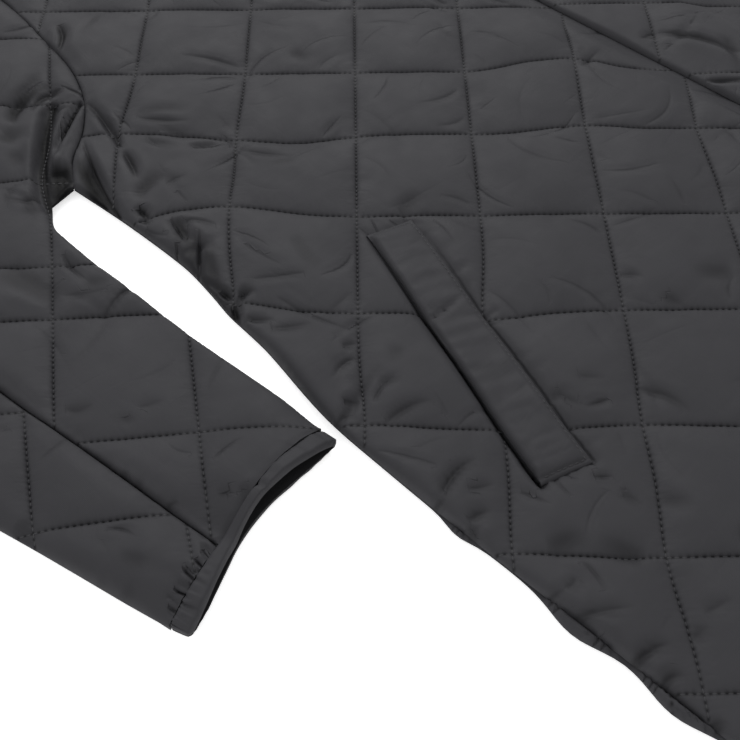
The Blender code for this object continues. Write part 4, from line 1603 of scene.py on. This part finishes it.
@dataclass
class Cuff:
    """The flat band round a sleeve's mouth, gathered a little where the under sleeve joins it."""

    side: Side
    mouth: Mouth
    wall: float = 3.6 * MM
    inner_reach: float = 0.94
    squareness: float = 0.6
    roundness: float = 0.45
    join: float = 1.66
    sections: int = 360
    profile: int = 28
    lining_below: float = 0.16  # the lip's share of the band that is lined underneath

    def build(self, wardrobe: Wardrobe) -> None:
        """Rolls a grid round the mouth and welds its two seams."""
        mesh = bmesh.new()
        bmesh.ops.create_grid(mesh, x_segments=self.sections, y_segments=self.profile, size=0.5)
        flat = spots_of(mesh.verts) + 0.5
        turn, round_band = 2 * math.pi * flat[:, 0], flat[:, 1]
        inside = round_band > 0.5
        depth = self.mouth.band * np.where(inside, 2 - 2 * round_band, 2 * round_band)
        outward = np.where(inside, 0.0, self.profile_height(depth) + self.gathers(turn, depth))
        for vert, spot in zip(mesh.verts, self.places(turn, depth, outward)):
            vert.co = spot
        for face in mesh.faces:
            turns = [vert.index % (self.sections + 1) / self.sections for vert in face.verts]
            column = 2 * math.pi * sum(turns) / 4
            row = sum(vert.index // (self.sections + 1) for vert in face.verts) / 4 / self.profile
            below = math.sin(column) < 0
            face.material_index = int(row > 0.5 or (below and row < self.lining_below))
        bmesh.ops.remove_doubles(mesh, verts=mesh.verts, dist=0.005 * MM)
        bmesh.ops.recalc_face_normals(mesh, faces=mesh.faces)
        name = f"cuff_{self.side.word}"
        piece = dressed(f"{name}_band", mesh, (wardrobe.plain, wardrobe.lining), Slot.BINDING, name)

    def profile_height(self, depth: Array) -> Array:
        """The band's thickness over its depth, from 0 to 1: round at the lip, drawn in at its seam."""
        to_seam = self.mouth.band - depth
        return rounded(depth, 1.8 * MM) * at_least(0.3, rounded(to_seam, 3.0 * MM))

    def gathers(self, turn: Array, depth: Array) -> Array:
        """Small folds across the band, strongest beside its seam on the under sleeve's part."""
        spots = np.column_stack((turn * 0.033, depth * 0.25))
        fine = wander(spots, 1.9 * MM, 6.1)
        broad = wander(spots, 5.5 * MM, 2.7)
        under = ease((np.cos(turn) - 0.2) * 4)
        near_seam = (depth / self.mouth.band) ** 1.5
        held = rounded(depth, 2.0 * MM)
        join = 0.4 * bell(turn - self.join, 0.016)
        return (0.5 * fine * near_seam * at_least(0.3, under) + 0.3 * broad - join) * held

    def places(self, turn: Array, depth: Array, outward: Array) -> Array:
        """Points of the band.

        Args:
            turn: The angle round the mouth, over the sleeve below pi and under it beyond.
            depth: How far up the sleeve.
            outward: 0 at the band's inner face, 1 at its outer one.

        Returns:
            Rows of (x, y, z).
        """
        cosine, sine = np.cos(turn), np.sin(turn)
        spread = np.sign(cosine) * np.abs(cosine) ** self.squareness / 2
        reach = self.inner_reach + (1 - self.inner_reach) * np.minimum(outward, 1.0)
        here = self.mouth.place(0.5 + spread * reach, depth)
        lip = self.mouth.place(0.5 + spread * self.inner_reach, depth)
        middle = LAYERS.lower_wall + LAYERS.gap / 2
        full = np.abs(sine) ** self.roundness
        over = sine > 0
        inner_face = np.where(over, LAYERS.upper_base + self.mouth.rise(lip), LAYERS.lower_wall - 0.4 * MM)
        inner_face = middle + (inner_face - middle) * full
        outer_face = np.where(over, middle + (inner_face + self.wall - middle) * full, middle * (1 - full))
        heights = np.maximum(inner_face + (outer_face - inner_face) * outward, 0.0)
        return LAYERS.placed(here, heights, self.side)


@dataclass
class Sleeve:
    """A sleeve: its top panel, the under sleeve with its strip on top, and the cuff."""

    side: Side
    top_quilt: Quilt
    under_quilt: Quilt
    top_creases: Sequence[Crease]
    strip_creases: Sequence[Crease]
    mouth: Mouth = field(default_factory=Mouth)
    strip_gape: float = 1.1
    cell: float = 1.7 * MM

    def base(self, points: Array) -> Array:
        """The upper wall's inner face."""
        return LAYERS.upper_base + self.mouth.rise(points)

    def near_cuff(self, points: Array) -> Array:
        """The share of the padding that is left beside the cuff."""
        return at_least(0.35, ease((self.mouth.local(points)[1] - self.mouth.band) / (26 * MM)))

    def under_arm(self, points: Array) -> Array:
        """How much wider the fold is near the armpit."""
        return 16 * MM * np.exp(-((points - (0.2935, 0.4325)) ** 2).sum(axis=1) / 0.026**2)

    def gathered(self, draw: random.Random) -> list[Crease]:
        """Short folds that lead into the cuff's seam, close together on the under sleeve."""
        parts = np.array([0.635 + 0.032 * index + draw.uniform(-0.008, 0.008) for index in range(11)])
        reach = np.array([draw.uniform(3.5, 7.0) for _ in parts]) * MM
        lean = np.array([draw.uniform(-0.03, 0.02) for _ in parts])
        starts = self.mouth.place(parts + lean, self.mouth.band + reach) / MM
        ends = self.mouth.place(parts, np.full(len(parts), self.mouth.band)) / MM
        return [
            Crease(*start, *end, draw.uniform(0.8, 1.2), -draw.uniform(1.6, 3.0), keep=1.0, shade=1.5)
            for start, end in zip(starts, ends)
        ]

    def cuff_line(self) -> Outline:
        """A thin loop along the cuff's seam."""
        parts = np.linspace(0, 1, 40)
        seam = [self.mouth.place(parts, np.full(40, depth)) for depth in (8.6 * MM, 8.8 * MM)]
        return Outline(np.concatenate((seam[0], seam[1][::-1])))

    def build(self, wardrobe: Wardrobe) -> None:
        """Makes all its pieces."""
        top, under = f"sleeve_top_{self.side.word}", f"sleeve_under_{self.side.word}"
        over = Outline.of_node(top, self.side, Facing.DOWN)[0].smooth()
        front = Outline.of_node(f"front_{self.side.word}", self.side, Facing.DOWN)[0].smooth()
        strip = Outline.of_node(under, self.side, Facing.UP, above=LAYERS.upper_rims)[0].smooth()
        self.make_top(top, over, [front, strip, self.cuff_line()], wardrobe)
        self.make_under(under, strip, [over, self.cuff_line()], wardrobe)
        Cuff(self.side, self.mouth).build(wardrobe)

    def make_top(
        self, node: str, outline: Outline, neighbours: Sequence[Outline], wardrobe: Wardrobe
    ) -> None:
        """The top sleeve, with the deep folds under the arm.

        Args:
            node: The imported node.
            outline: Its outline.
            neighbours: The outlines that it is sewn to.
            wardrobe: The finishes.
        """
        small = Wrinkles(seed=17 + self.side.value).creases(self.top_quilt, outline)
        relief = Relief(
            self.top_quilt,
            outline,
            self.base,
            seed=41.7 + self.side.value,
            neighbours=neighbours,
            creases=[*self.top_creases, *small],
            press=self.near_cuff,
            wide_fold=self.under_arm,
        )
        panel = Panel(
            self.side,
            outline,
            self.top_quilt,
            relief.height,
            relief.base,
            self.cell,
            level_inner=False,
            meets=(neighbours[0], neighbours[2]),
        )
        piece = quilted_piece(node, panel.build(), relief, self.side, wardrobe)
        self.sew(node, relief, wardrobe)

    def sew(self, node: str, relief: Relief, wardrobe: Wardrobe) -> None:
        """Stitches a panel's quilting."""
        sewing = Sewing(f"{node}_stitches", self.side)
        sewing.quilt(relief)
        sewing.make(wardrobe.thread)

    def make_under(
        self, node: str, strip: Outline, neighbours: Sequence[Outline], wardrobe: Wardrobe
    ) -> None:
        """The under sleeve: its flat underside, joined to the strip that shows outside the sleeve seam.

        Args:
            node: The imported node.
            strip: The strip's outline.
            neighbours: The outlines that it is sewn to.
            wardrobe: The finishes.
        """
        lower = Outline.of_node(node, self.side, Facing.DOWN)[0].smooth()
        folded = ~lower.shared([self.cuff_line()])

        def roll(points: Array) -> Array:
            """How far the strip has risen from the sleeve's folded edge."""
            return rounded(lower.nearest(points, folded)[1] + 0.15 * MM, 9 * MM)

        def strip_base(points: Array) -> Array:
            """The strip's inner face."""
            return LAYERS.lower_wall - 1.2 * MM + self.strip_gape * self.mouth.rise(points) * roll(points)

        relief = Relief(
            self.under_quilt,
            strip,
            self.base,
            seed=63.1 + self.side.value,
            neighbours=neighbours,
            creases=[
                *self.strip_creases,
                *self.gathered(random.Random(7)),
                *Wrinkles(seed=29, each=4).creases(self.under_quilt, strip),
            ],
            press=self.near_cuff,
            roll=roll,
            fold_reach=0.3 * MM,
        )
        meets = (self.cuff_line(),)
        shown = Panel(
            self.side,
            strip,
            self.under_quilt,
            relief.height,
            strip_base,
            self.cell,
            level_inner=False,
            meets=meets,
        )
        hidden = Underside(self.side, lower, self.under_quilt, meets=meets).panel()
        mesh = joined((hidden.build(), shown.build()))
        piece = quilted_piece(node, mesh, relief, self.side, wardrobe)
        self.sew(node, relief, wardrobe)


@dataclass
class Underside:
    """The lower layer of a part: quilted below, where its squares rest on the surface, and plain above."""

    side: Side
    outline: Outline
    quilt: Quilt
    groove: float = 1.4 * MM
    roll: float = 5.0 * MM
    cell: float = 5.8 * MM
    shell_rim: float = 9.0 * MM
    covers: Sequence[Outline] = ()
    meets: Sequence[Outline] = ()
    roll_height: float = 2.4 * MM
    fine_rim: float = 9.0 * MM

    def below(self, points: Array) -> Array:
        """The underside's height: 0 in a square, raised at a stitched line and at the rim."""
        full = np.clip(1.6 * self.quilt.puff(self.quilt.lattice(points), 1.0), 0, 1)
        turned = (LAYERS.lower_wall - 0.9 * MM) * (1 - rounded(self.outline.distance(points), self.roll))
        return np.maximum(self.groove * (1 - full), turned)

    def above(self, points: Array) -> Array:
        """The inner face, which turns down at the rim and swells into a roll outside what covers it."""
        rim = self.outline.distance(points)
        heights = LAYERS.lower_wall - 0.05 * MM - 0.6 * MM * (1 - rounded(rim, 2.5 * MM))
        if self.covers:
            clear = np.min([cover.distance(points) for cover in self.covers], axis=0)
            clear[np.any([cover.inside(points) for cover in self.covers], axis=0)] = 0.0
            heights += self.roll_height * ease(clear / (1.2 * MM)) * rounded(rim, 2.2 * MM)
        return heights

    def panel(self) -> Panel:
        """The wall between the two."""
        return Panel(
            self.side,
            self.outline,
            self.quilt,
            self.below,
            self.above,
            self.cell,
            inner_shell=self.shell_rim,
            fine_rim=self.fine_rim,
            rim_cuts=3 if self.covers else 1,
            meets=self.meets,
        )


@dataclass
class Back:
    """The back, which the rest of the body lies on. It bulges from under the front's fold here and there."""

    quilt: Quilt
    bulges: tuple[Triple, ...] = (  # up, reach and size, in millimetres
        (174.0, 8.0, 2.2),
        (118.0, 15.0, 4.8),
        (76.0, 15.0, 4.8),
    )

    def outline(self) -> Outline:
        """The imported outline, with its bulges."""
        plain = Outline.of_node("back", Side.LEFT, Facing.DOWN)[0].smooth(4 * MM)
        points = plain.points.copy()
        for centre, reach, size in self.bulges:
            beside = np.abs(points[:, 0]) > 0.25
            push = size * bell(points[:, 1] / MM - centre, reach) * beside
            points[:, 0] += np.sign(points[:, 0]) * push * MM
        return Outline(points)

    def build(self, wardrobe: Wardrobe) -> None:
        """Makes the panel."""
        outline = self.outline()
        fronts = [Outline.of_node(f"front_{side.word}", Side.LEFT, Facing.DOWN)[0].smooth() for side in Side]
        mesh = Underside(Side.LEFT, outline, self.quilt, covers=fronts).panel().build()
        piece = dressed("back_shell", mesh, (wardrobe.shell, wardrobe.lining), Slot.SHELL, "back")
        mark_stitches(piece.data, self.quilt, Side.LEFT)


@dataclass
class Collar:
    """The stand collar, plain and lightly padded: its back half below and its two front halves above."""

    quilt: Quilt
    puff: float = 3.0 * MM
    swell: float = 0.4 * MM

    def build(self, wardrobe: Wardrobe) -> None:
        """Makes the collar's three stretches as one piece."""
        low = Outline.of_node("collar", Side.LEFT, Facing.DOWN)[0].smooth(4 * MM)
        neck = (Back(self.quilt).outline(),)
        meshes = [Underside(Side.LEFT, low, self.quilt, groove=0.0, meets=neck).panel().build()]
        area = low.area
        fronts = [Outline.of_node(f"front_{side.word}", Side.LEFT, Facing.DOWN)[0] for side in Side]
        for rim in Outline.of_node("collar", Side.LEFT, Facing.UP, above=LAYERS.upper_rims)[:2]:
            fine = rim.smooth()
            base = LAYERS.lapped if rim.points[:, 0].mean() > 0 else LAYERS.upper
            relief = Relief(
                self.quilt,
                fine,
                base,
                seed=83.0,
                neighbours=fronts,
                puff=self.puff,
                quilted=False,
                swell=self.swell,
            )
            panel = Panel(Side.LEFT, fine, self.quilt, relief.height, base, 2.4 * MM, level_inner=False)
            meshes.append(panel.build())
            area += fine.area
        finishes = (wardrobe.plain, wardrobe.lining)
        piece = dressed("collar_shell", joined(meshes), finishes, Slot.SHELL, "collar")


@dataclass
class Studio:
    """The floor, the soft lights and the camera."""

    eye: Triple = (-0.4818, -0.3346, 0.3708)
    gaze: Triple = (0.4451, 0.4313, -0.7848)
    reach: float = 0.5  # how far before the camera the lights' target lies, in metres
    lens: float = 54.0
    sensor: float = 36.0
    floor_size: float = 6.0
    floor_glow: float = 0.6
    key_energy: float = 22.0
    fill_energy: float = 6.0
    sky: float = 0.8

    def build(self) -> None:
        """Makes all of it."""
        self.make_floor()
        target = Vector(self.eye) + self.reach * Vector(self.gaze)
        self.make_light("key", target + Vector((0.95, 1.15, 1.25)), target, 1.2, self.key_energy)
        self.make_light("fill", target + Vector((-1.5, 0.2, 1.5)), target, 1.6, self.fill_energy)
        world = bpy.data.worlds.new("studio")
        world.use_nodes = True
        sky = world.node_tree.nodes["Background"].inputs
        sky["Color"].default_value, sky["Strength"].default_value = (1.0, 1.0, 1.0, 1.0), self.sky
        bpy.context.scene.world = world
        bpy.context.scene.view_settings.view_transform = "Standard"
        self.make_camera()

    def make_floor(self) -> None:
        """A pale plane just under the garment."""
        mesh = bmesh.new()
        bmesh.ops.create_grid(mesh, x_segments=4, y_segments=4, size=self.floor_size / 2)
        bmesh.ops.translate(mesh, verts=mesh.verts, vec=(0.0, 0.0, -0.5 * MM))
        data = bpy.data.meshes.new("floor")
        mesh.to_mesh(data)
        mesh.free()
        tree = Tree("floor_white")
        tree.set(Base_Color=(0.93, 0.93, 0.93, 1.0), Roughness=0.9, Specular_IOR_Level=0.1)
        tree.set(Emission_Color=(1.0, 1.0, 1.0, 1.0), Emission_Strength=self.floor_glow)
        data.materials.append(tree.material)
        floor = added("floor", data)

    @staticmethod
    def make_light(name: str, place: Vector, target: Vector, size: float, energy: float) -> None:
        """A square soft light.

        Args:
            name: The light's name.
            place: Where it stands.
            target: What it faces.
            size: Its side, in metres.
            energy: Its power, in watts.
        """
        data = bpy.data.lights.new(name, "AREA")
        data.size, data.energy = size, energy
        light = added(name, data)
        light.location = place
        light.rotation_euler = (target - place).to_track_quat("-Z", "Y").to_euler()

    def make_camera(self) -> None:
        """The camera, above the wearer's right side."""
        data = bpy.data.cameras.new("camera")
        data.lens, data.sensor_width = self.lens, self.sensor
        camera = added("camera", data)
        camera.location = self.eye
        camera.rotation_euler = Vector(self.gaze).to_track_quat("-Z", "Y").to_euler()
        bpy.context.scene.camera = camera


# Creases and pulls: each row holds the values of a Crease or a Pull, in its order


def each(kind: type, *rows: tuple[float, ...]) -> tuple:
    """One of a kind for each row of its fields' values."""
    return tuple(kind(*row) for row in rows)


FRONT_CREASES = each(
    Crease,
    (270, 456, 291, 400, 2.0, -5.0, 0.025, 0.8),
    (278, 449, 295, 404, 5.5, -5.0, 0.0, 1.0),
    (255, 450, 261, 435, 1.6, -2.2, 0.05),
    (262, 433, 271, 411, 2.4, -2.6, -0.04),
    (242, 449, 225, 425, 2.4, -1.2, 0.04),
    (237, 411, 221, 402, 1.5, -1.9, 0.05),
    # Troughs along the side edge below the armpit; a ninth value, where given, scales the painted shade at a
    # trough's bottom
    (278, 380, 293, 322, 6.0, -0.8, 0.0, 1.0, 2.2),
    (282, 397, 283, 387, 2.3, -3.0, 0.0, 0.0, 1.3),
    (274, 378, 281, 363, 3.6, -1.8, 0.0, 0.5, 1.9),
    (276, 380, 280, 366, 1.4, -2.4, 0.0, 0.4),
    (271, 376, 278, 364, 1.4, -2.4, 0.0, 0.4),
    (284, 366, 291, 356, 1.3, -2.6, 0.03, 0.4),
    (274, 367, 290, 345, 4.2, -1.2, 0.0, 0.7, 1.9),
    (272, 364, 290, 343, 1.5, -3.2, 0.0, 0.6),
    (275, 357, 289, 333, 3.8, -1.2, 0.0, 0.8, 1.7),
    (292, 343, 289, 324, 1.5, -2.8, -0.05, 0.5),
    (289, 330, 289, 322, 2.3, -2.8, 0.0, 0.0, 1.3),
    (291, 319, 297, 310, 2.3, -3.2, 0.0, 0.0, 1.4),
    (293, 314, 298, 304, 1.5, -3.0, 0.03),
    (280, 322, 294, 314, 1.4, -2.0, 0.05),
    (222, 542, 239, 522, 2.6, -3.0, -0.13),
    (233, 548, 240, 529, 2.5, -1.8, 0.02),
    (252, 477, 261, 437, 2.5, -2.0, -0.04),
    (252, 463, 258, 441, 2.5, -1.6, 0.01),
    (279, 401, 257, 405, 3.6, -1.8, -0.11),
    (263, 399, 253, 396, 2.4, -1.0, -0.04),
    (222, 405, 241, 414, 2.0, -1.4, -0.03),
    (251, 434, 239, 412, 2.4, -0.8),
    (241, 451, 220, 431, 3.0, -1.0, -0.07),
    (238, 436, 233, 418, 3.0, -0.8, 0.01),
    (221, 393, 207, 368, 2.4, -1.0, 0.03),
    (208, 367, 222, 374, 2.4, -0.8),
    (149, 432, 147, 419, 4.0, -1.0, 0.06),
    (286, 390, 285, 384, 2.2, -1.6, -0.05),
    (257, 308, 280, 326, 2.2, -0.9),
    (286, 322, 279, 317, 2.6, -1.6, -0.08),
    (293, 309, 285, 299, 2.6, -1.6, 0.02),
    (291, 297, 275, 285, 3.0, -1.2, 0.02),
    (245, 329, 251, 302, 4.0, -0.8, 0.05),
    (199, 305, 182, 307, 4.0, -1.2, -0.06),
    (279, 243, 271, 237, 2.6, -1.0),
    (291, 227, 270, 220, 3.0, -1.4, -0.10),
    (275, 268, 269, 264, 2.8, -1.2, -0.03),
    (296, 247, 290, 242, 2.4, -1.4),
    (259, 250, 269, 244, 4.0, -0.7, 0.02),
    (302, 187, 279, 189, 2.6, -1.9, -0.11),
    (309, 188, 302, 185, 2.0, -2.0, -0.02),
    (293, 182, 283, 176, 2.2, -1.1),
    (303, 173, 293, 170, 3.0, -1.5, -0.04),
    (303, 171, 309, 165, 2.6, -1.2, -0.02),
    (219, 169, 230, 174, 2.0, -1.3, 0.02),
    (233, 189, 230, 174, 3.0, -0.9),
    (220, 186, 212, 176, 3.0, -0.7, 0.02),
    (207, 165, 203, 140, 3.0, -1.2, -0.12),
    (123, 172, 137, 186, 5.0, -1.2, -0.03),
    (160, 208, 154, 198, 2.6, -0.9, -0.10),
    (156, 187, 155, 175, 3.4, -0.9, 0.02),
    (255, 151, 249, 145, 2.2, -1.5, -0.03),
    (253, 140, 252, 129, 2.8, -0.9, -0.02),
    (243, 129, 237, 116, 4.0, -1.1, 0.05),
    (291, 144, 276, 136, 5.0, -1.4, -0.07),
    (269, 116, 276, 133, 5.0, -1.2),
    (310, 134, 300, 129, 2.0, -1.6),
    (300, 129, 292, 130, 2.6, -1.0, 0.09),
    (310, 123, 288, 107, 2.4, -1.3, -0.01),
    (308, 109, 306, 103, 3.0, -1.4),
    (307, 95, 290, 90, 2.6, -1.9, -0.07),
    (311, 94, 306, 91, 2.2, -1.4, -0.01),
    (306, 83, 296, 80, 2.6, -1.5, -0.15),
    (308, 62, 300, 61, 3.0, -1.8, -0.14),
    (284, 85, 276, 84, 3.0, -0.9, -0.10),
    (273, 88, 261, 84, 3.0, -0.8),
)
SLEEVE_CREASES = each(
    Crease,
    (309, 430, 266, 487, 3.0, -7.0, -0.049, 1.0),
    (284, 468, 310, 428, 3.0, -6.0, 0.053, 1.0),
    (298, 449, 254, 480, 1.8, -4.2, 0.0, 0.9),
    # A wide trough into the armpit, with painted shade at its bottom
    (287, 453, 304, 427, 8.0, -6.5, 0.0, 1.0),
    (289, 489, 254, 503, 4.0, -3.4, -0.18),
    (253, 495, 277, 490, 3.5, -2.5, 0.20),
    (258, 477, 279, 486, 2.2, -1.2, 0.15),
    (301, 479, 286, 485, 6.0, -1.8),
    (300, 470, 305, 459, 4.0, -1.0),
    (306, 437, 322, 445, 3.0, -1.6, -0.28),
    (319, 434, 316, 427, 4.0, -1.2, 0.08),
    (349, 408, 340, 373, 8.0, -1.6, 0.02),
    (330, 375, 320, 367, 4.0, -1.2, 0.02),
    (341, 377, 320, 361, 3.0, -0.9, 0.07),
    (358, 395, 348, 373, 3.0, 0.8, 0.01),
    (377, 325, 367, 317, 3.0, -1.0, 0.16),
    (362, 304, 365, 299, 3.0, -0.8),
    (357, 303, 346, 298, 3.0, -0.6, 0.05),
    (379, 259, 373, 257, 2.5, -1.3, -0.05),
    (382, 275, 376, 274, 3.0, -0.8),
    (382, 283, 378, 281, 3.0, -0.9),
    (359, 248, 360, 243, 3.0, -1.2, -0.04),
    (353, 244, 356, 234, 3.0, -0.8, -0.02),
    (385, 298, 382, 288, 3.0, -0.8),
)
STRIP_CREASES = each(
    Crease,
    (398, 251, 406, 246, 6.0, -1.0, -0.01),
    (416, 255, 417, 247, 4.0, -0.9, -0.02),
    (410, 244, 412, 239, 4.0, -0.7, 0.01),
    (422, 295, 420, 282, 6.0, -0.8, -0.03),
)
LAP_CREASES = each(
    Crease,
    (-1, 300, 13, 260, 3.2, -2.4, 0.06, 0.4),
    (-17, 258, -4, 245, 2.6, -2.6, 0.0, 0.6),
    (18, 270, 3, 250, 3.0, -1.6, 0.05, 0.3),
    (-1, 301, -12, 303, 2.4, -1.4),
)
RIGHT_PULLS = each(
    Pull,
    (255, 360, -4.0, 7.0),
    (277, 383, -1.5, 2.0, 18),
    (290, 396, 2.5, -4.0, 16),
    (297, 317, -7.0, 2.5),
    (194, 380, 3.5, -4.0, 22),
    (215, 401, 2.5, 0.0),
    (255, 441, -0.2, 4.2),
    (55, 315, -8.0, 6.0, 24),
    (75, 334, -3.0, 2.6, 18),
    (91, 278, -4.4, 4.3),
    (50, 236, -1.5, 4.0),
    (216, 235, 5.9, -0.5),
    (301, 232, -4.0, 0.8),
    (301, 150, -0.1, 2.9),
    (260, 109, 2.7, 2.1),
    (219, 150, 0.3, 2.7),
)


def main() -> None:
    """Builds the studio and the garment."""
    logging.basicConfig(level=logging.INFO, format="%(message)s")
    Studio().build()
    wardrobe = Wardrobe()
    drift = {1: 8 * MM, 2: 5.7 * MM, 5: 5 * MM, 6: 7 * MM, 7: 7 * MM}
    right = Quilt(evenly(-0.2809, 16, drift), evenly(-0.0291, 14), pulls=RIGHT_PULLS)
    left = Quilt(evenly(-0.3077, 17), evenly(-0.0496, 14, {4: -6 * MM}))
    top_sleeve = Quilt(
        (-0.142, -0.084, -0.028, 0.038, 0.070, 0.128, 0.186, 0.244, 0.302, 0.360),
        evenly(0.3910, 8),
        row_tilt=-0.05,
        column_tilt=0.17,
        pulls=(Pull(298, 444, 3.6, 3.0, 22),),
    )
    under_sleeve = Quilt(evenly(-0.144, 9), evenly(0.406, 8), row_tilt=-0.13, column_tilt=0.24)
    Front(Side.RIGHT, right, FRONT_CREASES, cell=1.6 * MM).build(wardrobe)
    draw = random.Random(3)
    similar = [crease.varied(draw) for crease in FRONT_CREASES]
    Front(Side.LEFT, left, [*LAP_CREASES, *similar], cell=1.9 * MM).build(wardrobe)
    Back(left).build(wardrobe)
    Collar(left).build(wardrobe)
    Sleeve(Side.RIGHT, top_sleeve, under_sleeve, SLEEVE_CREASES, STRIP_CREASES).build(wardrobe)
    similar = [crease.varied(draw) for crease in SLEEVE_CREASES]
    Sleeve(Side.LEFT, top_sleeve, under_sleeve, similar, STRIP_CREASES).build(wardrobe)


if __name__ == "__main__":
    main()
